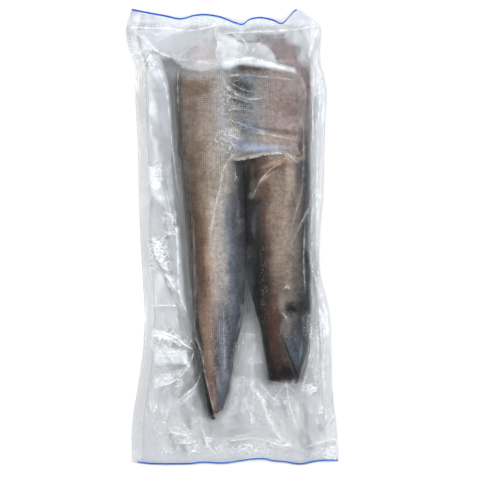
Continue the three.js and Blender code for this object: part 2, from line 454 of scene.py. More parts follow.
def banded_skin(name, bands, spots, edge_tones=()):
    """Skin from colour bands (y start, y end, stops across the body), then tones along an edge as
    (mm from the edge, half width, colour, strength), then spots as
    (x, y, half width, half length, tilt, colour, strength)."""
    signal, show = new_material(name)
    place = signal.node("ShaderNodeTexCoord", {}, {}, 3).vector("MULTIPLY", METRES_TO_MM)
    drift, mottle, grain, folds, lengthwise = (
        skin_noise(place, kind) for kind in ("drift", "mottle", "grain", "folds", "lengthwise"))
    x = signal.node("ShaderNodeSeparateXYZ", {}, {0: place}, 0)
    y = signal.node("ShaderNodeSeparateXYZ", {}, {0: place}, 1)
    across = signal.node("ShaderNodeAttribute", {"attribute_name": "across"}, {}, 2)
    band_place = across * 0.5 + 0.5 + (drift - 0.5) * BAND_WANDER
    y_here = y + (drift - 0.5) * JOIN_WANDER
    colour = None
    for start, end, stops in bands:
        ramp_stops = [(stop * 0.5 + 0.5, shade(*tone)) for stop, tone in stops]
        band = signal.node("ShaderNodeValToRGB", {"stops": ramp_stops}, {0: band_place})
        colour = band if colour is None else y_here.fade(start, end).colours(colour, band)
    cut = signal.node("ShaderNodeAttribute", {"attribute_name": "cut_face"}, {}, 2)
    flesh = mottle.fade(*FLESH_MOTTLE).colours(*FLESH_TONES)
    colour = cut.fade(*FLESH_START).colours(colour, flesh)
    reach = signal.node("ShaderNodeAttribute", {"attribute_name": "reach"}, {}, 2)
    edge = reach + (mottle - 0.5) * EDGE_WANDER
    for distance, half_width, tone, strength in edge_tones:
        away = ((edge - distance) / half_width).math("ABSOLUTE")
        mask = (1 - away.fade(*EDGE_BORDER)) * across.fade(*EDGE_RUN_IN)
        colour = (mask * strength).colours(colour, shade(*tone))
    wobble = (mottle - 0.5) * SPOT_WANDER[0] + (drift - 0.5) * SPOT_WANDER[1]
    for spot_x, spot_y, half_width, half_length, tilt, tone, strength in spots:
        mask = spot_mask(x, y, (spot_x, spot_y), (half_width, half_length), tilt, wobble)
        colour = (mask * strength).colours(colour, shade(*tone))
    tail_rim = cut.fade(*RIM_START) * (1 - cut.fade(*FLESH_START)) * (1 - y.fade(*TAIL_HALF))
    colour = tail_rim.colours(colour, TAIL_RIM_TONE)
    level = mottle * TONE_NOISE["mottle"] + grain * TONE_NOISE["grain"] + folds * TONE_NOISE["folds"]
    level = level + lengthwise * TONE_NOISE["lengthwise"] + TONE_LEVEL
    levels = signal.node("ShaderNodeCombineColor", {}, {0: level, 1: level, 2: level})
    multiply = {"data_type": "RGBA", "blend_type": "MULTIPLY"}
    colour = signal.node("ShaderNodeMix", multiply, {0: 1.0, 6: colour, 7: levels}, 2)
    relief = signal.node("ShaderNodeBump", {}, {
        "Strength": 0.5, "Distance": 0.0006, "Height": mottle + grain * GRAIN_RELIEF})
    return show(signal.node("ShaderNodeBsdfPrincipled", {}, {
        "Base Color": colour, "Roughness": 0.55, "Specular IOR Level": 0.1, "Normal": relief}))


# %% Colours of the left fish
# Stops run across the body from -1 to 1. The greys at the left flank, near -1, are painted shade and the
# grey of the film along the steep flank rather than skin. The darkest stops towards 1 are dark skin with
# painted shade of the deep gap between the fish in them.
LEFT_BANDS_AND_FLANK_SHADE = [
    (0, 0, [(-1.0, (140, 138, 136)), (-0.86, (90, 74, 66)), (-0.66, (144, 118, 100)),
            (-0.35, (160, 138, 122)), (-0.1, (142, 130, 130)), (0.15, (112, 114, 122)),
            (0.4, (132, 136, 146)), (0.65, (106, 112, 124)), (1.0, (60, 66, 78))]),
    (-85, -40, [(-1.0, (112, 110, 108)), (-0.88, (126, 122, 118)), (-0.68, (92, 74, 64)),
                (-0.5, (116, 90, 72)), (-0.32, (164, 138, 118)), (-0.04, (192, 182, 172)),
                (0.24, (174, 170, 167)), (0.47, (114, 120, 128)), (0.78, (60, 65, 73)),
                (1.0, (70, 72, 76))]),
    (26, 54, [(-1.0, (118, 116, 114)), (-0.85, (128, 121, 116)), (-0.68, (108, 94, 84)),
              (-0.54, (112, 93, 78)), (-0.34, (148, 130, 115)), (-0.08, (184, 170, 157)),
              (0.16, (190, 178, 165)), (0.37, (194, 188, 180)), (0.55, (152, 149, 145)),
              (0.73, (70, 70, 71)), (1.0, (34, 35, 37))]),
    (72, 98, [(-1.0, (138, 132, 128)), (-0.85, (128, 118, 112)), (-0.7, (134, 119, 110)),
              (-0.47, (136, 116, 100)), (-0.22, (160, 145, 133)), (0.02, (166, 152, 140)),
              (0.26, (184, 176, 170)), (0.5, (174, 174, 176)), (0.75, (128, 132, 138)),
              (1.0, (84, 90, 98))]),
]
LEFT_SPOTS_AND_SHADE = [
    (-21, -134, 7, 20, 14, (156, 114, 110), 0.7),
    (-15, -116, 3, 9, 10, (70, 54, 50), 0.6),
    (-17, -134, 2.5, 7, 10, (74, 58, 56), 0.5),
    (-10, -98, 3, 24, 6, (150, 156, 172), 0.6),
    (-7, -124, 3, 20, 8, (158, 164, 182), 0.6),
    (2, 17, 5, 12, 0, (60, 62, 66), 0.6),
    (-3, -86, 2.5, 18, 8, (66, 70, 80), 0.6),
    (-15, -104, 2, 13, 8, (98, 86, 82), 0.5),
    (-12, -142, 2, 11, 12, (168, 174, 190), 0.6),
    (-22, -147, 4, 10, 14, (118, 74, 70), 0.6),
    (-8, -150, 9, 18, 8, (96, 100, 112), 0.7),
    (-18, -170, 4, 8, 20, (40, 34, 34), 0.9),
    (-36, 149, 14, 4, 8, (190, 180, 170), 0.4),
    (-31, 140, 16, 9, 6, (130, 107, 82), 0.6),
    (-28, 60, 8, 40, 4, (146, 120, 94), 0.4),
    (-14, 58, 10, 44, 4, (178, 164, 150), 0.35),
    # The next row is painted shade in the hollow under the belly flap.
    (10, 56, 5, 17, 0, (72, 71, 70), 0.8),
    (-27, 174, 16, 16, 0, (206, 142, 116), 0.9),
    (-31, 184, 6, 9, 0, (140, 70, 50), 0.9),
]

# %% Colours of the right fish
# Stops run across the body from -1 to 1. Where they are near black towards -1, they hold the dark skin and
# painted shade of the deep gap between the fish and of the hollow under the belly flap.
RIGHT_BANDS_AND_GAP_SHADE = [
    (0, 0, [(-1.0, (40, 42, 44)), (-0.8, (40, 36, 34)), (-0.55, (80, 60, 51)), (-0.2, (92, 72, 62)),
            (0.1, (82, 77, 74)), (0.45, (76, 80, 85)), (0.8, (74, 81, 91)), (1.0, (74, 81, 92))]),
    (-75, -35, [(-1.0, (34, 35, 37)), (-0.67, (22, 22, 23)), (-0.42, (36, 32, 30)), (-0.28, (84, 68, 58)),
                (-0.1, (138, 118, 104)), (0.1, (164, 145, 130)), (0.35, (156, 143, 130)),
                (0.6, (120, 115, 108)), (0.82, (54, 55, 58)), (1.0, (120, 132, 150))]),
    (-20, 18, [(-1.0, (40, 41, 43)), (-0.6, (46, 45, 44)), (-0.42, (98, 76, 66)), (-0.2, (146, 126, 113)),
               (0.05, (152, 133, 119)), (0.3, (172, 156, 142)), (0.52, (142, 129, 120)),
               (0.74, (90, 87, 88)), (1.0, (122, 130, 140))]),
    (80, 110, [(-1.0, (92, 98, 106)), (-0.5, (130, 130, 132)), (-0.1, (156, 142, 138)),
               (0.4, (166, 152, 148)), (0.68, (188, 170, 168)), (0.86, (168, 154, 158)),
               (1.0, (168, 166, 172))]),
]
RIGHT_SPOTS_LIGHT_AND_SHADE = [
    (41, -80, 8, 30, -4, (84, 50, 38), 0.6),
    (45, -110, 12, 16, 0, (60, 44, 38), 0.8),
    (66.5, -106, 8, 25, -6, (92, 100, 112), 0.8),
    (51, -86, 6, 14, -14, (150, 148, 150), 0.5),
    (48, -130, 17, 15, 0, (16, 15, 14), 0.97),
    (55, -116, 3.6, 28, 21, (20, 19, 20), 0.9),
    (53.5, -116, 1.5, 24, 21, (104, 100, 98), 0.4),
    (55, -67, 11, 14, 0, (136, 132, 127), 0.6),
    (66, -74, 6, 24, 0, (50, 52, 53), 0.8),
    (46, -62, 5, 10, 0, (180, 164, 154), 0.5),
    (57.2, -67.3, 8.6, 8.0, 0, (14, 14, 14), 0.98),
    (61, -42, 6, 22, 0, (92, 84, 72), 0.5),
    # Painted shadow under the belly flap's rolled edge.
    (40, 67, 22, 7, 4, (104, 76, 60), 0.6),
    # The next six rows paint the belly folds below the flap: ridges as painted highlights, grooves and a
    # pocket as painted shade.
    (31, 52, 10, 18, -20, (146, 120, 104), 0.7),
    (31, 45, 7, 9, -20, (98, 72, 58), 0.7),
    (35, 60, 3.0, 15, -50, (166, 142, 124), 0.5),
    (36, 68.5, 14, 2.4, 18, (196, 164, 140), 0.75),
    (34.5, 61, 13, 2.6, 30, (80, 56, 42), 0.75),
    (31, 55.8, 8, 2.0, 32, (204, 180, 160), 0.65),
    (18.5, 39.5, 3.5, 4, 0, (160, 150, 140), 0.6),
    # The next two rows are painted shade in the hollow under the belly flap.
    (24, 68, 10, 4, 0, (86, 60, 46), 0.8),
    (8, 57, 8, 19, 0, (74, 72, 70), 0.85),
    (19, 49, 4, 9, 0, (120, 112, 104), 0.6),
    (29, 20, 3, 14, 0, (90, 48, 42), 0.5),
    (56, 60, 5, 17, 0, (190, 174, 160), 0.6),
    (19, 62, 4, 8, 0, (114, 92, 82), 0.6),
    (56, 29, 5, 12, 0, (104, 98, 96), 0.5),
    (34, 35, 5, 7, 0, (104, 86, 76), 0.5),
    (72, 138, 4, 12, 0, (176, 134, 132), 0.7),
    (75, 100, 3.5, 18, 0, (100, 70, 74), 0.85),
    (50, 177, 15, 13, 10, (166, 84, 72), 0.9),
    (42, 186, 20, 5, 6, (128, 66, 54), 0.95),
    (60, 177, 4.5, 15, 10, (124, 66, 62), 0.95),
]
left_skin = banded_skin("left_fish_skin", LEFT_BANDS_AND_FLANK_SHADE, LEFT_SPOTS_AND_SHADE)
right_skin = banded_skin("right_fish_skin", RIGHT_BANDS_AND_GAP_SHADE, RIGHT_SPOTS_LIGHT_AND_SHADE)
print("skin finishes ready")


# %% Close the ends and build the object
# What cut_face says: the skin round the tail cut, that cut from its edge to its middle, the head cut
# and the middle of both cuts
TAIL_CUT_RIM = 0.7
TAIL_CUT = (0.75, 1.4)
HEAD_CUT = 1.2
CUT_MIDDLE = 1.4
# The hollow belly in the head cut: its height and its spread, as shares of the cut's height
HOLLOW_HEIGHT = 0.30
HOLLOW_SPREAD = (0.28, 0.2)
# How deep each cut is dished, mm. The higher the power, the steeper the step down from the rim.
HOLLOW_DEPTH = 9.0
HOLLOW_POWER = 8
FLESH_SETBACK = 1.2
FLESH_POWER = 6
TAIL_DISH = 1.4
TAIL_POWER = 4


def make_fish(name, stations, seed, material, tail_slant, dent):
    skin, across = fish_rings(stations, Lumps(seed), tail_slant)
    skin[..., 2] -= dent(skin[..., 0], skin[..., 1]) * (skin[..., 2] > skin[..., 2].max() / 2)
    tail_rings, tail_point = end_cap(skin[0], flat_cut)
    head_rings, head_point = end_cap(skin[-1], hollow_cut)
    rings = np.concatenate([tail_rings[::-1], skin, head_rings])
    points = np.vstack([rings.reshape(-1, 3), tail_point, head_point])
    faces = grid_faces(len(rings), FISH_AROUND)
    last = (len(rings) - 1) * FISH_AROUND
    tail_tip = len(points) - 2
    head_tip = len(points) - 1
    for place in range(FISH_AROUND):
        following = (place + 1) % FISH_AROUND
        faces.append([tail_tip, following, place])
        faces.append([head_tip, last + place, last + following])
    fish = make_object(name, points, faces, material)
    cap = len(tail_rings)
    inward = np.repeat(np.linspace(*TAIL_CUT, cap), FISH_AROUND)
    on_skin = np.zeros((len(skin), FISH_AROUND))
    on_skin[0] = TAIL_CUT_RIM
    cut = np.concatenate([inward[::-1], on_skin.ravel(), inward * 0 + HEAD_CUT, [CUT_MIDDLE] * 2])
    cap_across = np.repeat(across[:1], cap, 0)
    spread = np.concatenate([cap_across, across, cap_across])
    add_values(fish, "cut_face", cut)
    add_values(fish, "across", np.append(spread.ravel(), [0, 0]))
    return fish


def hollow_cut(share, ring):
    """The head cut: flesh set back a little inside the skin, deeper where the belly was emptied."""
    centre = ring.mean(axis=0)
    reach = np.ptp(ring[:, 2])
    place = centre + (ring - centre) * share
    aside = (place[:, 0] - centre[0]) / (HOLLOW_SPREAD[0] * reach)
    above = (place[:, 2] - HOLLOW_HEIGHT * reach) / (HOLLOW_SPREAD[1] * reach)
    near = np.exp(-(aside**2) - above**2)
    sunk = -FLESH_SETBACK * (1 - share**FLESH_POWER) - HOLLOW_DEPTH * near * (1 - share**HOLLOW_POWER)
    return np.stack([0 * sunk, sunk, 0 * sunk], axis=1)


def flat_cut(share, ring):
    """The tail cut: nearly flat, a little dished."""
    sunk = np.full(len(ring), TAIL_DISH * (1 - share**TAIL_POWER))
    return np.stack([0 * sunk, sunk, 0 * sunk], axis=1)


def no_dent(x, y):
    return 0 * x


# The vent of the right fish, millimetres
VENT = (58.2, -67.5)
VENT_DEPTH = 2.6
VENT_RADIUS = 4.2
LIP_HEIGHT = 0.7
LIP_RADIUS = 7
LIP_WIDTH = 2.5


def vent_dent(x, y):
    """The vent: a small round hollow with a raised lip."""
    away = np.hypot(x - VENT[0], y - VENT[1])
    hollow = VENT_DEPTH * np.exp(-(away / VENT_RADIUS) ** 2)
    return hollow - LIP_HEIGHT * np.exp(-((away - LIP_RADIUS) / LIP_WIDTH) ** 2)


left_fish = make_fish(
    "left_catfish", LEFT_FISH, seed=11, material=left_skin, tail_slant=0.55, dent=no_dent)
right_fish = make_fish(
    "right_catfish", RIGHT_FISH, seed=12, material=right_skin, tail_slant=-0.15, dent=vent_dent)
for fish in (left_fish, right_fish):
    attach(fish, "root")
    print(fish.name, len(fish.data.polygons), "faces")

# %% [markdown]
# ## Where the film can lie
# The film is stopped by the fish. Rays sent straight down, and straight up for the lower sheet, give
# a height map of what each sheet lies on. Everything after this step only looks heights up in it, which
# is much quicker than testing the film against the faces of the fish in every pass.

# %% Height maps
MAP_STEP = 1.0
MAP_LOW = (-106.0, -222.0)
MAP_SIZE = (445, 213)
NOTHING = -1000.0
FILM_GAP = 0.35
# The rays start this far above or below the floor, in metres
RAY_START = 0.2
# Keeps a place that is looked up inside the map's last cell
LAST_CELL = 1.001


def height_map(pieces, direction):
    """Highest point of the pieces under each place, or with direction +1 minus their lowest point."""
    bpy.context.view_layer.update()
    trees = [BVHTree.FromObject(piece, bpy.context.evaluated_depsgraph_get()) for piece in pieces]
    heights = np.full(MAP_SIZE, NOTHING)
    away = -RAY_START * direction
    for row in range(MAP_SIZE[0]):
        for column in range(MAP_SIZE[1]):
            x = (MAP_LOW[0] + column * MAP_STEP) * MM
            y = (MAP_LOW[1] + row * MAP_STEP) * MM
            for tree in trees:
                hit = tree.ray_cast(Vector((x, y, away)), Vector((0, 0, direction)))[0]
                if hit is not None:
                    heights[row, column] = max(heights[row, column], -direction * hit.z / MM + FILM_GAP)
    return heights


def look_up(heights, x, y):
    """The height map between its places."""
    fx = np.clip((x - MAP_LOW[0]) / MAP_STEP, 0, MAP_SIZE[1] - LAST_CELL)
    fy = np.clip((y - MAP_LOW[1]) / MAP_STEP, 0, MAP_SIZE[0] - LAST_CELL)
    column = fx.astype(np.int32)
    row = fy.astype(np.int32)
    fx = fx - column
    fy = fy - row
    low = heights[row, column] * (1 - fx) + heights[row, column + 1] * fx
    high = heights[row + 1, column] * (1 - fx) + heights[row + 1, column + 1] * fx
    return low * (1 - fy) + high * fy


body_tops = height_map([left_fish, right_fish], -1)
fish_bottoms = height_map([left_fish, right_fish], 1)
print("fish stand up to", body_tops.max(), "mm")

# %% [markdown]
# ## Belly flap and fins
# The loose belly wall of the right fish lies over towards the left one and ends in a rolled edge.
# Two stubs of fin stay at the tails. All three are thin slabs: a grid between two edge curves, laid
# on the fish, with a top and a bottom that meet all round. They could be raised out of the fish's own
# mesh, but a slab has a clean edge and a finish of its own.


# %% Thin slabs
def two_sided(top, bottom):
    """Points and faces of a closed skin from two grids that share their rim."""
    rows, columns = top.shape[:2]
    number = np.arange(rows * columns).reshape(rows, columns)
    inner = bottom[1:-1, 1:-1].reshape(-1, 3)
    below = number.copy()
    below[1:-1, 1:-1] = rows * columns + np.arange(len(inner)).reshape(rows - 2, columns - 2)
    upper = np.stack([number[:-1, :-1], number[:-1, 1:], number[1:, 1:], number[1:, :-1]], axis=2)
    lower = np.stack([below[:-1, :-1], below[1:, :-1], below[1:, 1:], below[:-1, 1:]], axis=2)
    faces = np.concatenate([upper.reshape(-1, 4), lower.reshape(-1, 4)]).tolist()
    return np.vstack([top.reshape(-1, 3), inner]), faces


def smoothed(heights, rounds):
    """A height map with its dips bridged: every place at least as high as the mean round it."""
    heights = heights.copy()
    for _ in range(rounds):
        mean = (heights[1:-1, 2:] + heights[1:-1, :-2] + heights[2:, 1:-1] + heights[:-2, 1:-1]) / 4
        heights[1:-1, 1:-1] = np.maximum(heights[1:-1, 1:-1], mean)
    return heights


# How deep a slab sinks into the fish, how lumpy its top is and how far its underside bulges, mm
SLAB_SINK = 1.0
SLAB_LUMPS = 0.3
SLAB_LUMP_SIZE = 9
SLAB_BULGE = 0.6


def slab(name, edges, size, thickness, tapers, heights, material, seed):
    """A slab between a low and a high edge curve, laid on heights. tapers tells over how many mm it
    thins out towards its low, high, first and last edge."""
    rows, columns = size
    low, high = (evenly(curve_through(edge), columns) for edge in edges)
    share = np.linspace(0, 1, rows)[:, None, None]
    flat = low * (1 - share) + high * share
    x, y = np.moveaxis(flat, 2, 0)
    reach = np.cumsum(np.hypot(*np.moveaxis(np.diff(flat, axis=0, prepend=flat[:1]), 2, 0)), axis=0)
    run = np.cumsum(np.hypot(*np.moveaxis(np.diff(flat, axis=1, prepend=flat[:, :1]), 2, 0)), axis=1)
    full = np.sqrt(1 - (1 - np.clip(reach / tapers[0], 0, 1)) ** 2)
    for distance, taper in zip((reach[-1:] - reach, run, run[:, -1:] - run), tapers[1:]):
        full = full * smooth_step(distance, 0, taper)
    base = look_up(heights, x, y) - SLAB_SINK
    swell = thickness + SLAB_SINK + SLAB_LUMPS * Lumps(seed).at(x, y, SLAB_LUMP_SIZE)
    top = np.stack([x, y, base + full * swell], axis=2)
    bottom = np.stack([x, y, base - SLAB_BULGE * full], axis=2)
    made = make_object(name, *two_sided(top, bottom), material)
    across = np.broadcast_to(np.linspace(-1, 1, columns)[None, :], x.shape)
    for value_name, values in (("across", across), ("reach", reach)):
        add_values(made, value_name, np.concatenate([values.ravel(), values[1:-1, 1:-1].ravel()]))
    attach(made, "root")
    return made


# %% Belly flap
FLAP_BANDS = [
    (0, 0, [(-1.0, (156, 150, 144)), (-0.72, (146, 144, 142)), (-0.5, (136, 139, 144)),
            (-0.25, (154, 150, 148)), (0.05, (168, 154, 149)), (0.5, (174, 158, 153)),
            (0.8, (196, 182, 178)), (1.0, (190, 176, 176))]),
]
# Tones along the rolled edge: a brown band 3.6 mm in, and at 1.2 mm a cream painted highlight on the
# edge's crest.
FLAP_EDGE_TONES_AND_HIGHLIGHT = [(3.6, 1.8, (118, 94, 78), 0.5), (1.2, 1.5, (200, 186, 164), 0.7)]
FLAP_SPOTS = [
    (-1, 96, 11, 7, -20, (206, 206, 204), 0.7),
    (20, 103, 22, 2.4, -13, (100, 122, 150), 0.85),
    (9, 140, 13, 7, -24, (62, 66, 70), 0.85),
    (7, 127, 14, 3.4, -22, (84, 87, 90), 0.7),
    (50, 120, 14, 14, 0, (158, 128, 122), 0.6),
    (19, 158, 19, 4.5, -6, (90, 70, 54), 0.85),
    (17, 151, 14, 2.4, -4, (124, 134, 154), 0.7),
    (46, 99, 22, 3.4, -8, (122, 98, 82), 0.7),
    (27, 83.4, 26, 4.6, -4, (182, 188, 210), 0.95),
    (6, 87, 10, 5, -4, (124, 138, 164), 0.6),
    (66, 86, 5, 18, 0, (100, 80, 82), 0.9),
]
flap_skin = banded_skin("belly_flap_skin", FLAP_BANDS, FLAP_SPOTS, FLAP_EDGE_TONES_AND_HIGHLIGHT)
FLAP_EDGES = [
    [(-3, 72.6), (3, 71.4), (17, 74.4), (34, 77.6), (50, 77.6), (58, 73), (64, 72.6), (70, 78)],
    [(-9, 160), (8, 166), (30, 166), (50, 162), (70, 156)],
]
FLAP_BRIDGING = 500
bridged_tops = smoothed(np.maximum(body_tops, 0), FLAP_BRIDGING)
belly_flap = slab("belly_flap", FLAP_EDGES, size=(72, 60), thickness=3.4, tapers=(3, 14, 18, 16),
                  heights=bridged_tops, material=flap_skin, seed=21)
print("belly flap:", len(belly_flap.data.polygons), "faces")

# %% Tail fins
RIGHT_FIN_BANDS = [
    (0, 0, [(-1.0, (78, 84, 94)), (0.0, (80, 88, 100)), (0.6, (66, 72, 80)), (1.0, (60, 62, 66))]),
]
RIGHT_FIN_SPOTS = [
    (65.5, -106, 2, 15, -10, (132, 142, 156), 0.7),
    (60, -106, 2, 15, 16, (54, 58, 64), 0.6),
]
LEFT_FIN_BANDS = [(0, 0, [(-1.0, (36, 35, 36)), (-0.4, (18, 17, 17)), (1.0, (12, 11, 11))])]
RIGHT_FIN_EDGES = [
    [(46, -90), (54, -111), (61, -127), (64, -137)],
    [(56, -84), (67, -96), (71.5, -114), (66, -137)],
]
LEFT_FIN_EDGES = [
    [(-37.2, -94), (-34.8, -102), (-32, -110), (-30.2, -122), (-28.2, -134), (-25.6, -150), (-23, -162),
     (-20, -174)],
    [(-36.4, -93), (-33.4, -101), (-30.6, -109), (-28.6, -122), (-26.6, -134), (-23, -150), (-18.4, -161),
     (-16, -174)],
]
# Beside the fish a fin hangs at this height, millimetres
RIGHT_FIN_HANGS = 6
LEFT_FIN_HANGS = 3
right_fin_skin = banded_skin("right_fin_skin", RIGHT_FIN_BANDS, RIGHT_FIN_SPOTS)
left_fin_skin = banded_skin("left_fin_skin", LEFT_FIN_BANDS, [])
right_fin = slab("right_tail_fin", RIGHT_FIN_EDGES, size=(16, 40), thickness=0.9, tapers=(2, 8, 16, 2),
                 heights=np.maximum(body_tops, RIGHT_FIN_HANGS), material=right_fin_skin, seed=22)
left_fin = slab("left_tail_fin", LEFT_FIN_EDGES, size=(16, 60), thickness=1.6, tapers=(0.6, 0.6, 8, 2),
                heights=np.maximum(body_tops, LEFT_FIN_HANGS), material=left_fin_skin, seed=23)
contents = [left_fish, right_fish, belly_flap, right_fin, left_fin]
fish_tops = height_map(contents, -1)
print("contents stand up to", fish_tops.max(), "mm")

# %% [markdown]
# ## The film before it creases
# A sheet under vacuum hangs between its rim and the fish as a soap film would, bent inwards a little
# wherever it spans free air. Only past the cut heads did it stay up, as a tent down to the header seal.
# Solving that on a coarse grid first and doubling the grid three times is much quicker than solving
# it on the fine one.

# %% Relax a sheet on to its stops
VACUUM_CURVATURE = 0.06
HEAD_TENT = (150.0, 168.0)
COARSE_ROWS = 40
COARSE_COLUMNS = 18
DOUBLINGS = 3
RELAX_ROUNDS = 300
SHEET_GAP = 0.3
FLAT_WIDTH = 200.0
FLAT_LENGTH = 438.0
SIDE_SEAL = 10.5
HEADER_SEAL = 199.0
# A place nearer to the film's edge than this is on its rim
ON_RIM = 0.01
BRIDGING_ROUNDS = 300


def flat_places(rows, columns):
    """The places of the film's grid while it was flat, in mm from its middle."""
    across = np.linspace(-0.5, 0.5, columns)[None, :] * FLAT_WIDTH
    along = np.linspace(-0.5, 0.5, rows)[:, None] * FLAT_LENGTH
    return np.broadcast_arrays(across, along)


def rim_distance(rows, columns):
    """How far each place of a grid is from the film's edge, in mm."""
    across, along = flat_places(rows, columns)
    return np.minimum(FLAT_WIDTH / 2 - np.abs(across), FLAT_LENGTH / 2 - np.abs(along))


def doubled(grid):
    """The grid with a new place between each two, on a smooth curve through four."""
    for axis in (0, 1):
        lines = np.moveaxis(grid, axis, 0)
        ends = np.concatenate([2 * lines[:1] - lines[1:2], lines, 2 * lines[-1:] - lines[-2:-1]])
        between = (9 * (ends[1:-2] + ends[2:-1]) - ends[:-3] - ends[3:]) / 16
        finer = np.empty((2 * len(lines) - 1,) + lines.shape[1:])
        finer[::2] = lines
        finer[1::2] = between
        grid = np.moveaxis(finer, 0, axis)
    return grid


def relax(patch, stops, heights):
    """Let free film sag to the mean of its neighbours, less the vacuum's pull. Seals stay down."""
    across = (patch[1:-1, 2:, 0] - patch[1:-1, :-2, 0]) / 2
    along = (patch[2:, 1:-1, 1] - patch[:-2, 1:-1, 1]) / 2
    total = 2 * (across**2 + along**2)
    drawn_in = 1 - smooth_step(patch[1:-1, 1:-1, 1], *HEAD_TENT)
    pull = VACUUM_CURVATURE * drawn_in * across**2 * along**2
    from_side = FLAT_WIDTH / 2 - np.abs(flat_places(*stops.shape)[0])
    on_rim = rim_distance(*stops.shape) < ON_RIM
    sealed = on_rim | (from_side < SIDE_SEAL) | (patch[..., 1] > HEADER_SEAL)
    heights = np.where(sealed, stops, np.maximum(heights, stops))
    for _ in range(RELAX_ROUNDS):
        sides = along**2 * (heights[1:-1, 2:] + heights[1:-1, :-2])
        ends = across**2 * (heights[2:, 1:-1] + heights[:-2, 1:-1])
        free = np.maximum(stops[1:-1, 1:-1], (sides + ends - pull) / total)
        heights[1:-1, 1:-1] = np.where(sealed[1:-1, 1:-1], stops[1:-1, 1:-1], free)
    return heights


def relaxed_sheet(fish_heights, side):
    """A sheet's places. side is +1 for the upper sheet and -1 for the lower one."""
    heights = None
    for level in range(DOUBLINGS + 1):
        patch = edge_patch(COARSE_ROWS * 2**level + 1, COARSE_COLUMNS * 2**level + 1)
        rim = side * patch[..., 2] + SHEET_GAP / 2
        stops = np.maximum(look_up(fish_heights, patch[..., 0], patch[..., 1]), rim)
        heights = relax(patch, stops, stops if heights is None else doubled(heights))
    patch[..., 2] = side * heights
    return patch, stops


def widened(heights):
    """A height map in which every place is as high as the highest of its neighbours."""
    padded = np.pad(heights, 1, mode="edge")
    rows, columns = heights.shape
    shifted = [padded[r:r + rows, c:c + columns] for r in range(3) for c in range(3)]
    return np.max(shifted, axis=0)


upper_sheet, upper_stops = relaxed_sheet(smoothed(widened(fish_tops), BRIDGING_ROUNDS), 1)
lower_sheet, _ = relaxed_sheet(widened(fish_bottoms), -1)
print("film sheets relaxed:", upper_sheet.shape, lower_sheet.shape)

# %% [markdown]
# ## Creases
# Film hardly stretches, so spare length goes into folds: straight crests with flat film on both
# sides. The large ones are pressed in where the pack has them, each as a ridge that slopes off
# evenly, with a painted highlight along its crest, or for one a painted shade line. The flat film
# between some of them, a pane, gets a painted sheen or painted shade as a whole. Faint patchy zigzags
# in several headings break up the rest. A cloth simulation would crease the film as well, but not in
# the places where this pack is creased. Both sheets lie on each other beside the fish, so both get the
# same creases.

# %% Places noted in the photograph
# The pixel of the photograph's 480 x 480 frame, across and down, that lies over the origin
MIDDLE_PIXEL = (232.25, 237)
# Size of a pixel on the pouch, millimetres
PIXEL_SIZE = 0.95


def seen(*points):
    """Points noted as (pixels across, pixels down), in millimetres to a tenth. Further values stay."""
    placed = []
    for across, down, *more in points:
        x = round((across - MIDDLE_PIXEL[0]) * PIXEL_SIZE, 1)
        y = round((MIDDLE_PIXEL[1] - down) * PIXEL_SIZE, 1)
        placed.append((x, y, *more))
    return placed


print("one pixel is", PIXEL_SIZE, "mm")
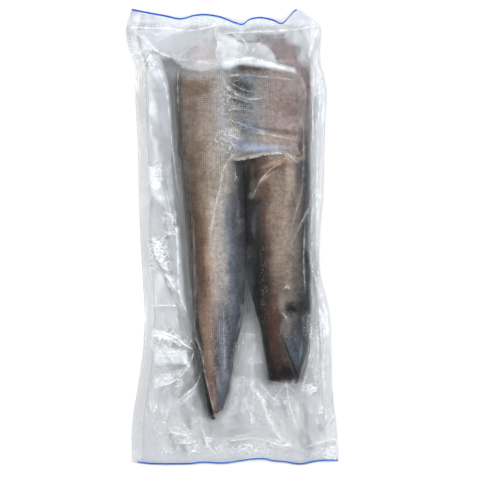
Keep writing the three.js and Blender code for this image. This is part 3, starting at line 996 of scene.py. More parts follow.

# %% Pleats pressed in one by one, millimetres
# Each pleat is (how far it slopes off, half width of its crest line, strength of the highlight painted
# along that line, crest), and each point of the crest is (x, y, height). A strength below zero
# paints shade instead of a highlight.
# A crest that was noted in the photograph goes through seen(), with pixels in place of x and y.
PLEATS = [
    # Left margin
    (9, 0.5, 0.6, [(-70.5, 159.6, 0.4), (-62.9, 140.6, 1.4), (-58.2, 99.8, 1.8), (-54.4, 66.5, 1.6),
                   (-51.5, 44.7, 0.6)]),
    (9, 0.8, 0.85, seen((175, 212, 1.6), (178, 255, 2.6), (179, 292, 2.2), (190, 319, 0.3))),
    (6, 0.6, 0.55, seen((158, 163, 0.2), (167, 195, 1.2), (173, 226, 0.4))),
    (3.5, 0.7, 0.8, seen((166, 213, 0.3), (173, 217, 0.9), (172, 229, 0.3))),
    (3.5, 0.7, 0.8, seen((160, 241, 0.2), (168, 234, 0.9), (177, 235, 0.3))),
    (4, 0.8, 0.9, seen((152, 238, 0.2), (156, 256, 1), (169, 274, 0.3))),
    (4, 1.4, 0.9, seen((165, 273, 0.2), (171, 282, 1), (177, 291, 0.2))),
    (4, 0.6, 0.9, seen((153, 307, 0.2), (164, 305.5, 0.9), (180, 307, 0.2))),
    (8, 0.8, 0.95, seen((154, 329, 0.1), (172, 336, 1.6), (190, 348, 1.8))),
    (5, 0.7, 0.9, seen((153, 335, 0.1), (169, 338.5, 0.9), (178, 344, 0.2))),
    (5, 0.6, 0.7, seen((154, 355, 0.1), (168, 356.5, 0.9), (178, 355, 0.2))),
    (10, 0.7, 0.8, seen((154, 387, 0.1), (171, 383, 1.8), (187, 369, 2.2), (194, 352, 0.6))),
    (6, 0.6, 0.6, seen((153, 381, 0.1), (174, 378, 1))),
    (8, 0.8, 0.95, seen((175, 404, 0.1), (196, 385, 2), (200, 376, 0.4))),
    (8, 0.6, 0.5, seen((164, 427, 0.1), (168, 413, 1.4), (180, 398, 0.4))),
    (7, 0.6, 0.45, seen((138, 425, 0.1), (150, 415, 1.2), (160, 398, 0.3))),
    # Tail end
    (9, 0.6, 0.35, seen((251, 387, 2.6), (242, 404, 1.8), (240, 424, 0.2))),
    (10, 0.6, 0.4, seen((251, 387, 2.6), (263, 404, 2.2), (270, 425, 1.4), (286, 446, 0.2))),
    (7, 0.6, 0.75, seen((286, 383, 2.6), (279, 392, 1.6), (271, 405, 0.2))),
    (9, 0.7, 0.7, seen((286, 383, 2.6), (290, 406, 2), (302, 441, 0.2))),
    (6, 0.6, 0.6, seen((287, 383, 2.4), (294, 392, 1.2), (300, 401, 0.2))),
    (5, 1.2, 0.9, seen((302, 391, 0.2), (308, 385, 1.2), (318, 391, 0.2))),
    (4, 0.7, 0.8, seen((311, 326, 0.6), (310, 350, 0.8), (307, 371, 0.8), (302, 388, 0.2))),
    (7, 0.6, 0.7, seen((338, 409, 0.1), (322, 434, 1.6), (313, 443, 0.2))),
    (5, 0.6, 0.4, seen((209, 454, 0.1), (231, 442, 1), (258, 439, 1), (277, 445, 0.9), (300, 450, 0.2))),
    (5, 0.6, 0.5, seen((300, 450, 0.2), (321, 442, 1), (338, 440, 0.1))),
    (5, 0.7, 0.8, seen((202, 428, 0.2), (207, 444, 1.2), (213, 453, 0.2))),
    (5, 0.6, 0.6, seen((163, 431, 0.1), (176, 434, 1), (190, 437, 0.2))),
    (4, 0.7, 0.7, seen((174, 443, 0.1), (186, 444, 0.9), (198, 442, 0.2))),
    (6, 0.5, 0.45, seen((239, 420, 0.1), (247, 408, 1.4), (255, 424, 0.1))),
    (7, 0.5, 0.4, seen((318, 400, 0.1), (312, 420, 1.2), (296, 446, 0.1))),
    # Head end
    (5, 0.8, 0.7, seen((130, 27, 0.6), (170, 28.5, 0.9), (190, 31, 0.9), (217, 25, 0.8))),
    (5, 0.8, 0.6, seen((224, 34, 0.6), (262, 32, 0.9), (285, 30.5, 0.9), (319, 25.5, 0.6))),
    (9, 0.9, 0.9, seen((130, 28, 0.2), (146, 41, 1.6), (159, 53, 2.2), (172, 58, 0.6))),
    (7, 0.6, 0.2, seen((216, 25, 0.4), (200, 42, 2), (176, 60, 0.4))),
    (5, 0.7, 0.4, [(-14.5, 202.3, 0.4), (-16.5, 192, 1.2), (-12.8, 182, 1.4), (-15.5, 172, 1),
                   (-11, 163, 0.3)]),
    (6, 0.7, 0.6, seen((222, 30, 0.4), (240, 38, 1.8), (247, 47, 1), (244, 62, 0.2))),
    (6, 0.5, 0.5, seen((263, 40, 0.2), (256, 48, 1.2), (249, 58, 0.2))),
    (3.5, 1.4, 0.6, [(-7.8, 163, 0.2), (14, 168, 1), (36.8, 162, 0.9), (60, 153, 0.1)]),
    (4, 1.2, 0.25, seen((176, 60, 0.2), (200, 64, 0.8), (226, 68, 0.2))),
    (8, 0.6, 0.6, seen((319, 25, 0.2), (312, 45, 1.6), (306, 66, 0.3))),
    (6, 0.7, 0.7, seen((309, 64, 0.3), (314, 74, 1.2), (313, 108, 0.2))),
    (4, 0.7, 0.8, seen((152, 52, 0.2), (148, 59, 1), (143, 68, 0.2))),
    # Over the belly flap
    (2.2, 0.7, 0.45, seen((224, 79, 0.1), (240, 77, 0.8), (268, 80, 0.7), (300, 83, 0.1))),
    (2.2, 0.8, 0.55, seen((223, 80, 0.1), (228, 90, 0.8), (248, 101, 0.9), (266, 100, 0.1))),
    (2, 0.6, 0.45, seen((224, 96, 0.1), (238, 101, 0.7), (254, 105, 0.1))),
    (2, 0.6, 0.39, seen((231, 84, 0.1), (243, 92, 0.7), (258, 95, 0.1))),
    (2, 0.6, 0.26, seen((226, 112, 0.1), (240, 111, 0.6), (262, 116, 0.1))),
    (2.4, 0.7, 0.33, seen((226, 121, 0.1), (250, 129, 0.9), (278, 138, 0.1))),
    (2.4, 0.9, 0.49, seen((248, 133, 0.1), (272, 137, 0.9), (301, 143, 0.1))),
    (2, 0.7, 0.52, seen((219, 131, 0.1), (230, 136, 0.8), (243, 143, 0.1))),
    (2, 0.6, 0.45, seen((218, 138, 0.1), (228, 142, 0.8), (240, 150, 0.1))),
    (2.6, 1.1, 0.59, [(-0.2, 71, 0.2), (16.9, 74.4, 1.1), (35.9, 78, 1.2), (51.1, 77.6, 1.1),
                      (61.5, 69.6, 0.2)]),
    (2, 0.7, 0.45, [(53, 80, 0.1), (58.7, 76, 0.8), (54.9, 70.3, 0.1)]),
    # Along the fish
    (2.2, 0.7, 0.33, seen((299, 78, 0.1), (304, 90, 0.7), (304, 108, 0.1))),
    (2, 0.6, 0.23, seen((303, 125, 0.1), (301, 190, 0.6), (294, 216, 0.6), (289, 236, 0.1))),
    (2, 0.7, 0.33, seen((310, 205, 0.1), (300, 224, 0.8), (288, 250, 0.1))),
    (1.8, 0.7, 0.45, seen((304, 226, 0.1), (303, 262, 0.5), (305, 294, 0.1))),
    (1.8, 0.7, 0.3, [(74, -42.8, 0.1), (75.6, -59.8, 0.5), (74.4, -86.5, 0.1)]),
    (2, 1.0, 0.6, [(-0.2, 75.5, 0.3), (-7.4, 65.6, 0.7), (-11.6, 44.7, 0.7), (-15.9, 28.5, 0.6),
                   (-21.6, -8.6, 0.1)]),
    (2, 0.5, 0.5, [(-50.9, 159, 0.1), (-51.3, 140, 0.5), (-50.5, 118, 0.1)]),
    (2, 0.7, 0.4, [(48.2, 70.3, 0.1), (40.1, 66.5, 0.6), (28.3, 55.1, 0.6), (19.3, 38.4, 0.1)]),
    (2, 0.8, 0.2, seen((209, 205, 0.1), (210, 250, 0.5), (212, 300, 0.1))),
    (2, 0.5, 0.23, [(-36.3, 11.4, 0.1), (-35.6, -30, 0.5), (-34.9, -59.8, 0.5), (-36.3, -95.9, 0.1)]),
    (2, 0.6, -0.52, seen((184, 120, 0.1), (188, 180, 0.3), (191.5, 240, 0.3), (193.5, 335, 0.1))),
    (2, 0.5, 0.5, [(-34.4, -97, 0.2), (-29, -109, 0.5), (-26.6, -124, 0.5), (-21.6, -148, 0.5),
                   (-17, -168, 0.1)]),
    (2, 0.7, 0.26, seen((223, 300, 0.1), (224, 335, 0.5), (225, 370, 0.1))),
    (1.6, 0.9, 0.59, seen((284, 288, 0.1), (287, 286, 0.5), (289, 289, 0.1))),
    (1.6, 1.2, 0.59, seen((281, 312, 0.1), (284, 314, 0.5), (286, 318, 0.1))),
    # Right margin
    (5, 0.7, 0.7, seen((315, 72, 0.2), (320, 92, 1), (317, 130, 0.2))),
    (4, 0.6, 0.5, seen((311, 84, 0.2), (313, 150, 0.8), (312, 250, 0.6), (316, 288, 0.2))),
    (5, 0.6, 0.6, seen((318, 120, 0.1), (317, 200, 0.9), (317, 262, 0.2))),
    (5, 0.6, 0.7, seen((314, 272, 0.2), (319, 290, 1.2), (327, 318, 0.2))),
    (5, 0.6, 0.6, seen((318, 305, 0.2), (323, 322, 1), (325, 345, 0.2))),
    (6, 0.6, 0.5, seen((316, 320, 0.2), (318, 352, 1.2), (314, 385, 0.2))),
    (5, 0.6, 0.5, seen((326, 340, 0.1), (323, 372, 1), (328, 402, 0.1))),
]
CREST_ROUNDING = 1.0
CREST_STEPS = 12
# Painted crest highlights are kept in this many sets, end at this distance from the crest, and keep
# their full strength until the crest is lower than its highest point divided by RUN_OUT
LINE_SETS = 3
LINE_REACH = (2.5, 5.0)
RUN_OUT = 1.6
FAR_AWAY = 99.0


def from_path(x, y, path):
    """Distance of each place from a path, below zero on its right, and the path's height there."""
    path = evenly(curve_through(path, CREST_STEPS), CREST_STEPS + 1)
    away = np.full(x.shape, np.inf)
    height = np.zeros(x.shape)
    for (ax, ay, az), (bx, by, bz) in zip(path, path[1:]):
        dx, dy = bx - ax, by - ay
        share = np.clip(((x - ax) * dx + (y - ay) * dy) / (dx * dx + dy * dy), 0, 1)
        side_x = x - ax - share * dx
        side_y = y - ay - share * dy
        reach = np.copysign(np.hypot(side_x, side_y), dx * side_y - dy * side_x)
        nearer = np.abs(reach) < np.abs(away)
        away = np.where(nearer, reach, away)
        height = np.where(nearer, az + share * (bz - az), height)
    return away, height


def press_pleats(x, y):
    """The height of all the pleats, and their crest lines in a few sets, so that neighbours don't mix.
    A set is the distance from the nearest crest in line widths, and the strength of the highlight
    painted along its line, below zero painted shade."""
    lift = np.zeros(x.shape)
    sides = np.full((LINE_SETS,) + x.shape, FAR_AWAY)
    lines = np.zeros((LINE_SETS,) + x.shape)
    for number, (reach, line, white, path) in enumerate(PLEATS):
        away, height = from_path(x, y, path)
        blunt = np.sqrt(away**2 + CREST_ROUNDING**2) - CREST_ROUNDING
        lift = np.maximum(lift, height * np.clip(1 - blunt / reach, 0, 1))
        kept = number % LINE_SETS
        nearer = np.abs(away / line) < np.abs(sides[kept])
        sides[kept] = np.where(nearer, away / line, sides[kept])
        run_out = np.clip(height / max(point[2] for point in path) * RUN_OUT, 0, 1)
        strength = white * run_out * (1 - smooth_step(np.abs(away), *LINE_REACH))
        lines[kept] = np.where(nearer, strength, lines[kept])
    return lift, sides, lines


print(len(PLEATS), "pleats")

# %% Panes: flat film between straight creases, with a painted sheen or painted shade over the whole of it
# Each pane is (haze at its first corner, haze at the far end, corners). The haze is a painted sheen,
# and below zero it is painted shade.
# Corners are (x, y) in millimetres, or pixels of the photograph inside seen().
PANE_SHEEN_AND_SHADE = [
    # Tents past the cut heads
    (0.52, 0.42, [(-60, 192), (-13, 196), (-7.5, 159), (-28, 153.5), (-47, 157.5), (-60, 172)]),
    (0.5, 0.62, [(7, 184), (22, 185), (32, 182), (40, 174), (43, 163), (7, 166)]),
    (0.3, 0.3, [(-40, 191), (-25, 192), (-24, 178), (-38, 178)]),
    (0.76, 0.65, [(-15.5, 196.7), (1.7, 190), (11.2, 181.5), (9, 163), (-4, 157), (-8.8, 158),
                  (-14, 179.6)]),
    (0.75, 0.85, [(6, 170), (37, 164), (59, 158.5), (61, 153.2), (36, 157.4), (6, 162.5)]),
    (0.5, 0.4, [(82, 200), (66, 196), (70, 172), (76, 166), (79, 180)]),
    # Left margin
    (0.65, 0.45, seen((148, 167), (160, 164), (172, 215), (166, 213), (150, 192))),
    (0.5, 0.4, seen((164, 212), (174, 216), (176, 236), (168, 237))),
    (0.6, 0.3, seen((152, 238), (161, 240), (170, 276), (158, 263))),
    (0.65, 0.5, seen((165, 273), (176, 277), (177, 292), (168, 286))),
    (0.65, 0.4, seen((154, 328), (172, 335), (191, 349), (170, 342), (153, 338))),
    (0.52, 0.6, [(-75.3, -103.5), (-42.1, -107.3), (-42.1, -120.8), (-75.3, -121.7)]),
    (0.5, 0.3, seen((153, 378), (188, 366), (172, 384), (154, 390))),
    (0.45, 0.3, seen((176, 405), (198, 383), (199, 391), (184, 405))),
    (0.56, 0.36, [(-81, 176), (-68, 174), (-60, 146), (-57.8, 120), (-55.5, 80), (-58, 66), (-72, 66),
                  (-81, 110)]),
    (0.42, 0.42, [(-68.6, 69.3), (-57.5, 69.3), (-54.5, 40), (-55, 20.9), (-57.2, 20.9)]),
    (0.4, 0.4, [(-67, -1), (-58, -1), (-56, -30), (-60, -34)]),
    (0.5, 0.4, [(-60, 10), (-50, 10), (-46, -40), (-43, -80), (-58, -60)]),
    (-0.35, -0.3, [(-59, 148), (-49, 154), (-45, 62), (-52.5, 66)]),
    (-0.2, -0.1, [(-43, 62), (-51, 62), (-46, 6.6), (-42, -50.3), (-38, -62), (-35, -62)]),
    (-0.45, -0.5, [(-42, -56), (-34, -56), (-30, -100), (-36, -98), (-41, -78)]),
    (-0.8, -0.75, [(-36, -84), (-31, -100), (-22, -150), (-19, -170), (-27, -166), (-37, -135),
                   (-41, -105)]),
    # Right margin and gap
    (-0.68, -0.06, [(11, -44), (25, -44), (30, -88), (30, -92), (8, -92)]),
    (-0.2, -0.1, [(73, 40), (77, 40), (77, -84), (73, -84)]),
    (0.65, 0.4, seen((314, 72), (322, 88), (323, 110), (317, 132))),
    (0.35, 0.25, seen((311, 84), (316, 120), (316, 250), (312, 250))),
    (0.5, 0.3, seen((318, 305), (327, 318), (326, 345), (322, 330))),
    (0.45, 0.3, seen((313, 270), (319, 288), (327, 319), (318, 305))),
    (-0.1, 0.32, [(12, -90), (22, -84), (28.5, -98), (30, -121), (12.5, -121)]),
    (-0.2, -0.15, [(2, -90), (11.5, -90), (11.5, -121), (-1, -121)]),
    # Tail end
    (0.3, 0.25, [(0, -132), (14, -132), (16, -168), (-6, -172)]),
    (-0.25, -0.12, [(-30, -162), (-12, -164), (-8, -190), (-26, -190)]),
    (-0.17, -0.1, [(-19, -179), (8, -175), (28, -192), (0, -196), (-17, -192)]),
    (-0.1, -0.05, [(-72, -141), (-56, -139), (-36, -141), (-54, -158), (-70, -160)]),
    (-0.12, -0.05, [(24, -150), (40, -158), (30, -182), (18, -172)]),
    (-0.1, -0.05, [(66, -150), (84, -160), (80, -185), (64, -195)]),
    (0.35, 0.15, seen((247, 404), (257, 424), (240, 421))),
    (0.25, 0.05, seen((251, 387), (263, 404), (272, 427), (254, 427))),
    (0.4, 0.15, seen((286, 383), (290, 406), (271, 406))),
    (0.65, 0.5, seen((302, 391), (308, 384), (318, 391), (310, 395))),
    (0.45, 0.25, seen((338, 409), (338, 441), (313, 444), (322, 434))),
]
# Depth inside its outline at which a pane starts and at which it is full, millimetres
PANE_BORDER = (-2.0, 3.5)


def paint_pane_sheen_and_shade(x, y):
    """The painted sheen of all the panes, and their painted shade below zero, soft along their borders
    and shared out where panes meet.
    """
    total = np.zeros(x.shape)
    weights = np.zeros(x.shape)
    for first_haze, last_haze, corners in PANE_SHEEN_AND_SHADE:
        corners = np.asarray(corners)
        following = np.roll(corners, -1, axis=0)
        turn = np.sign(np.sum(corners[:, 0] * following[:, 1] - following[:, 0] * corners[:, 1]))
        depth = np.full(x.shape, FAR_AWAY)
        for (ax, ay), (bx, by) in zip(corners, following):
            inside = turn * ((bx - ax) * (y - ay) - (by - ay) * (x - ax)) / math.hypot(bx - ax, by - ay)
            depth = np.minimum(depth, inside)
        spans = corners - corners[0]
        far = spans[np.argmax(np.hypot(*spans.T))]
        share = np.clip(((x - corners[0, 0]) * far[0] + (y - corners[0, 1]) * far[1]) / (far @ far), 0, 1)
        weight = smooth_step(depth, *PANE_BORDER)
        total += weight * (first_haze + share * (last_haze - first_haze))
        weights += weight
    return total / np.maximum(weights, 1)


print(len(PANE_SHEEN_AND_SHADE), "panes")

# %% Faint creases and crinkles
# Each set of creases is (spacing, steepness, heading in degrees, patch size), millimetres.
CREASE_SETS = [
    (64.0, 0.10, 14, 80), (47.0, 0.11, 152, 66), (36.0, 0.12, 86, 54), (26.0, 0.13, 42, 44),
    (17.0, 0.13, 118, 34), (11.0, 0.11, 12, 26),
]
# Where frost crinkles the film on the fish, as (x, y, half width, half length, strength)
CRINKLED = [(6, 122, 20, 42, 1.0), (40, 118, 30, 40, 0.4), (-12, -100, 12, 60, 0.3), (62, 60, 10, 60, 0.4),
            (42, 56, 16, 20, 0.7), (-20, 182, 60, 16, 0.35)]
# The same for the loose film at the tail end
TAIL_CRINKLES = [(10, -201, 34, 9, 1.0), (84, -200, 20, 9, 1.0), (-52, -196, 34, 12, 0.7)]
# How far creases bend, in spacings, over how many spacings, and the noise at which a patch fades in
CREASE_BEND = 0.3
BEND_SPACINGS = 3
CREASE_PATCH = (-0.1, 0.9)
# Moves each set to noise of its own, millimetres
SET_OFFSET = 300.0
# Ragged borders of patches, as (offset, lump size, strength), and where a border starts and ends
PATCH_WOBBLES = [(40, 12, 1.0), (90, 5, 0.6)]
PATCH_BORDER = (0.5, 1.25)
# Crinkles as (size, height), how they are stretched, moved and leant over, and how thin their ridges are
CRINKLE_SIZES = [(5.5, 0.45), (3.2, 0.25)]
CRINKLE_ACROSS = (0.45, 0.2, 700)
CRINKLE_LEAN = 0.25
CRINKLE_THINNESS = 1.6
film_lumps = Lumps(5)


def creases(x, y):
    """Flat facets that meet in straight creases: patchy zigzags in several headings, added up."""
    total = np.zeros(x.shape)
    for number, (spacing, steepness, heading, patch_size) in enumerate(CREASE_SETS):
        angle = math.radians(heading)
        offset = SET_OFFSET * (number + 1)
        bend = CREASE_BEND * spacing * film_lumps.at(x + offset, y, BEND_SPACINGS * spacing)
        along = (x * math.cos(angle) + y * math.sin(angle) + bend) / spacing
        zigzag = 2 * np.abs(2 * (along - np.floor(along + 0.5))) - 1
        patch = smooth_step(film_lumps.at(x, y + offset, patch_size), *CREASE_PATCH)
        total += patch * steepness * spacing / 4 * zigzag
    return total


def soft_patches(x, y, patches, ragged=0.3):
    """The strongest of several soft-edged patches at each place."""
    total = 0 * x
    wobble = 0
    for offset, size, strength in PATCH_WOBBLES:
        wobble = wobble + strength * film_lumps.at(x, y + offset, size)
    for patch_x, patch_y, half_width, half_length, strength in patches:
        cubes = np.abs((x - patch_x) / half_width) ** 3 + np.abs((y - patch_y) / half_length) ** 3
        away = np.cbrt(cubes) + ragged * wobble
        total = np.maximum(total, strength * (1 - smooth_step(away, *PATCH_BORDER)))
    return total


def crinkles(x, y):
    """Small ridges that run mostly across the pouch."""
    total = np.zeros(x.shape)
    across = CRINKLE_ACROSS[0] * x + CRINKLE_ACROSS[1] * y + CRINKLE_ACROSS[2]
    for size, height in CRINKLE_SIZES:
        wave = film_lumps.at(across, y - CRINKLE_LEAN * x, size)
        total += height * (1 - np.minimum(np.abs(wave) * CRINKLE_THINNESS, 1.0))
    return total * soft_patches(x, y, CRINKLED + TAIL_CRINKLES)


# %% Crease both sheets
# How much of the faint creases the fish take away, over these heights of the fish
FISH_SMOOTHS = 0.9
SMOOTHED_FROM = (2, 8)
# How much of them stays on the seals, and over how many mm they come back and rise from the rim
LEFT_ON_SEALS = 0.3
SEAL_FADE = 6
RIM_FADE = 3
LOWEST_FILM = 0.05


def creased(sheet):
    """Lift of a sheet's places by its creases, none at the rim and little on the fish or the seals."""
    x, y, _ = np.moveaxis(sheet, 2, 0)
    from_rim = rim_distance(*x.shape)
    loose = 1 - FISH_SMOOTHS * smooth_step(look_up(fish_tops, x, y), *SMOOTHED_FROM)
    from_seal = smooth_step(from_rim, SIDE_SEAL, SIDE_SEAL + SEAL_FADE)
    calm = LEFT_ON_SEALS + (1 - LEFT_ON_SEALS) * from_seal
    lift = loose * calm * creases(x, y) + press_pleats(x, y)[0] + crinkles(x, y)
    return lift * smooth_step(from_rim, 0, RIM_FADE)


upper_sheet[..., 2] = np.maximum(upper_sheet[..., 2] + creased(upper_sheet), upper_stops)
lower_top = upper_sheet[..., 2] - SHEET_GAP
lower_creased = np.minimum(lower_sheet[..., 2] + creased(lower_sheet), lower_top)
lower_sheet[..., 2] = np.maximum(lower_creased, LOWEST_FILM)
print("film creased:", upper_sheet.shape, "highest", upper_sheet[..., 2].max(), "mm")

# %% [markdown]
# ## The film as one skin
# The two sheets are joined along their rim into one closed skin, as the seal joins the real ones.
# For its finish each point keeps its place on the flat film, for the embossed mesh, whether the film
# touches the fish, how near the rim and a seal are, the nearest crest lines with their painted
# highlights and shade, the painted sheen and shade of its pane, and how much frost and painted sheen,
# painted glints and specks it has.

# %% What the film's finish reads
# Patches that whiten the film (frost and trapped air, and over the tents past the cut heads a painted
# sheen of light), patches of painted glints on fine crumples, hollows where the film is finished as if
# it touched the fish, and specks of frost, all as (x, y, half width, half length, strength)
FROST_AND_SHEEN = [
    (0, 209, 110, 11, 0.6), (84, 70, 8, 100, 0.44), (88, -60, 9, 50, 0.3), (90, -110, 10, 60, 0.2),
    (15, -206, 36, 6, 0.25), (88, -206, 16, 6, 0.3), (-52, 186, 42, 17, 0.56), (-34, 157, 26, 9, 0.15),
    (0, 197, 84, 6, 0.45), (47, 178, 20, 14, 0.26), (59, 189, 11, 10, 0.5), (66, 176, 7, 14, 0.4),
    (70, 184, 9, 14, 0.42), (12, 190, 14, 7, 0.4), (74, 195, 12, 9, 0.48), (80, 156, 7, 22, 0.6),
    (0, -208, 104, 9, 0.14), (48, -147, 20, 10, 0.34), (13, -45, 8, 22, 0.035), (80, -112, 6, 26, 0.3),
]
GLINT_PATCHES = [
    (-73, 52, 8, 15, 1.0), (-60, 13, 7, 13, 0.7), (-68, -16, 9, 17, 1.0), (-58, -43, 6, 9, 0.8),
    (-80, 169, 7, 10, 0.8), (-60, -98, 20, 12, 0.9), (-57, -132, 19, 18, 0.5), (15, -200, 26, 9, 1.0),
    (89, -202, 14, 10, 1.0), (-54, -192, 28, 17, 0.6), (75, -143, 8, 6, 1.0), (79, -98, 10, 42, 0.5),
    (84, 149, 6, 22, 0.5), (40, -165, 40, 22, 0.3), (0, 203, 90, 5, 0.3), (-5, 92, 9, 15, 0.6),
    (-8, 128, 6, 22, 0.4),
]
HOLLOWS = [(15, 25, 13, 62, 1.0), (16, -38, 9, 30, 1.0), (58.2, -67.5, 9, 9, 1.0), (48, 176, 15, 12, 1.0)]
SPECKS = [
    (-8, -100, 9, 66, 0.7), (-18, -128, 8, 34, 0.8), (6, 128, 16, 36, 1.0), (50, 120, 20, 36, 0.35),
    (51, -84, 9, 22, 0.5), (71, 70, 5, 80, 0.6), (66, -107, 8, 24, 0.15), (30, -60, 4, 70, 0.5),
    (54, -30, 8, 26, 0.6), (-30, 148, 22, 16, 0.4), (-24, 100, 22, 40, 0.3), (-20, 40, 14, 40, 0.3),
    (46, 52, 16, 22, 0.5),
]
FROST_RAGGED = 0.1
# Gap to the fish, and distance from the seal's border, over which the film's finish changes, mm
TOUCHING_GAP = (0.4, 3.0)
SEAL_BORDER = 0.6


def sheet_values(sheet, fish_heights, side):
    """What each point of one sheet keeps for the finish. Only the upper sheet has lines and frost."""
    x, y, z = np.moveaxis(sheet, 2, 0)
    flat_across, flat_along = flat_places(*x.shape)
    from_side = FLAT_WIDTH / 2 - np.abs(flat_across)
    gap = side * z - look_up(fish_heights, x, y)
    above = 1.0 if side > 0 else 0.0
    values = {
        "film_across": flat_across, "film_along": flat_along,
        "from_rim": rim_distance(*x.shape),
        "seal": 1 - smooth_step(from_side, SIDE_SEAL - SEAL_BORDER, SIDE_SEAL + SEAL_BORDER),
        "touching": np.maximum(1 - smooth_step(gap, *TOUCHING_GAP), soft_patches(x, y, HOLLOWS)),
        "frost": soft_patches(x, y, FROST_AND_SHEEN, FROST_RAGGED) * above,
        "glint_patches": soft_patches(x, y, GLINT_PATCHES) * above,
        "specks": soft_patches(x, y, SPECKS) * above,
    }
    _, sides, lines = press_pleats(x, y)
    values["pane"] = paint_pane_sheen_and_shade(x, y) * above
    for number in range(LINE_SETS):
        values[f"crest_side_{number}"] = sides[number]
        values[f"crest_light_and_shade_{number}"] = lines[number] * above
    return values


upper_values = sheet_values(upper_sheet, fish_tops, 1)
lower_values = sheet_values(lower_sheet, fish_bottoms, -1)
print("film keeps:", ", ".join(upper_values))

# %% [markdown]
# ## The film's finish
# Clear film shows what lies under it, mirrors the lights, and turns white where it is frosted or
# loose. A glass shader would bend what is seen through it, which thin film hardly does. So light
# passes straight through, dimmed by a mask, and over that lies a thin cover that is part mirror and
# part white. The embossed mesh dims the fish in patches. Much of the rest is painted light and shade:
# the side of a tent that is turned to a fixed direction is painted whiter and the other side darker,
# crests carry painted highlights and one a painted shade line, panes carry a painted sheen or painted
# shade, frost patches add white that is partly frost and partly a painted sheen, glints are painted
# white streaks, and specks add white and dark of their own.

# %% Film relief: embossed mesh, painted crest highlights, painted glints and specks
EMBOSS_PITCH = 2.1
EMBOSS_RISE = (0.1, 1.0)
# Noises of the film: lumps per metre, detail, and the levels between which they fade in
FILM_NOISES = {
    "broken": (120.0, 5.0, 0.36, 0.62), "beads": (420.0, 2.0, 0.4, 0.6), "patchy": (30.0, 3.0, 0.36, 0.64),
    "crumple_glints": (560.0, 3.0, 0.46, 0.60), "clusters": (150.0, 4.0, 0.32, 0.68),
    "fine": (700.0, 2.0, 0.48, 0.62),
}
# A painted crest highlight: its least width and what the breaks add, its border, and a painted
# highlight that spreads to one side
LINE_WIDTHS = (0.5, 0.9)
LINE_BORDER = (0.3, 1.3)
SIDE_HIGHLIGHT_START = (0.0, 0.5)
SIDE_HIGHLIGHT_END = (0.5, 4.5)
SIDE_HIGHLIGHT = 0.3
# How a painted crest highlight is broken up: what always stays, and what breaks, beads and mesh add
LINE_PARTS = (0.15, 0.35, 0.3, 0.2)
# Painted glints: headings in degrees, streaks per metre across and along, and the levels where they start
GLINT_HEADINGS = (62, -28)
GLINT_STREAKS = (800, 170)
GLINT_LEVELS = (0.60, 0.72)
CRUMPLE_GLINT = 0.4
# White of a speck between the mesh lines, and what the lines add to it
SPECK_PARTS = (0.4, 0.6)
film_signal, film_show = new_material("vacuum_film")
film_place = film_signal.node("ShaderNodeTexCoord", {}, {}, 3)


def film_value(name):
    return film_signal.node("ShaderNodeAttribute", {"attribute_name": name}, {}, 2)


def film_noise(name):
    scale, detail, low, high = FILM_NOISES[name]
    return noise(film_place, scale, detail).fade(low, high)


def streaks(heading, thin, long):
    """Streaks of noise that run along a heading, thin and long per metre."""
    turned = film_signal.node("ShaderNodeMapping", {"vector_type": "TEXTURE"}, {
        "Vector": film_place, "Rotation": (0, 0, math.radians(heading)),
        "Scale": (1 / long, 1 / thin, 1 / thin)})
    return noise(turned, 1.0, 2.0)


emboss_across = (film_value("film_across") * (math.tau / EMBOSS_PITCH)).math("COSINE")
emboss_along = (film_value("film_along") * (math.tau / EMBOSS_PITCH)).math("COSINE")
emboss = emboss_across.math("MAXIMUM", emboss_along).fade(*EMBOSS_RISE)
broken = film_noise("broken")
# Painted highlights along the pleats' crests, and painted shade where a pleat's strength is below zero
crest_highlight = film_signal.node("ShaderNodeValue")
crest_shade = film_signal.node("ShaderNodeValue")
for number in range(LINE_SETS):
    side = film_value(f"crest_side_{number}") / (LINE_WIDTHS[0] + broken * LINE_WIDTHS[1])
    near = 1 - side.math("ABSOLUTE").fade(*LINE_BORDER)
    side_highlight = side.fade(*SIDE_HIGHLIGHT_START) * (1 - side.fade(*SIDE_HIGHLIGHT_END)) * SIDE_HIGHLIGHT
    line = near.math("MAXIMUM", side_highlight) * film_value(f"crest_light_and_shade_{number}")
    crest_highlight = crest_highlight.math("MAXIMUM", line)
    crest_shade = crest_shade.math("MAXIMUM", line * -1)
always, breaks, bead_share, mesh_share = LINE_PARTS
crest_highlight = crest_highlight * (
    always + broken * breaks + film_noise("beads") * bead_share + emboss * mesh_share)
patchy = film_noise("patchy")
# Painted glints: white streaks and blotches in the film's cover, inside the glint patches
glint_sets = [streaks(heading, *GLINT_STREAKS) for heading in GLINT_HEADINGS]
glints = glint_sets[0].math("MAXIMUM", glint_sets[1]).fade(*GLINT_LEVELS)
glints = film_value("glint_patches") * glints.math("MAXIMUM", film_noise("crumple_glints") * CRUMPLE_GLINT)
speckled = film_value("specks")
clusters = speckled * film_noise("clusters")
fine = film_noise("fine")
white_specks = clusters * fine * (SPECK_PARTS[0] + emboss * SPECK_PARTS[1])
dark_specks = clusters * (1 - fine)
print("film relief:", len(film_signal.tree.nodes), "nodes")

# %% What dims the light that passes through the film
# Shares of the deep shade for each feature, with the mesh on loose film, on the fish and in patches
RIM_SHADE = 0.15
SEAL_LINE_SHADE = 0.12
LOOSE_MESH_SHADE = 0.06
TIGHT_MESH_SHADE = 0.14
PATCHY_MESH_SHADE = 0.36
SPECKLED_MESH_LESS = 0.2
SLOPE_SHADE = 0.5
DARK_LINE_SHADE = 0.5
DARK_SPECK_SHADE = 0.3
SPECKLED_SHADE = 0.2
TURNED_AWAY_SHADE = 0.18
RIM_LINE = (0.3, 1.4)
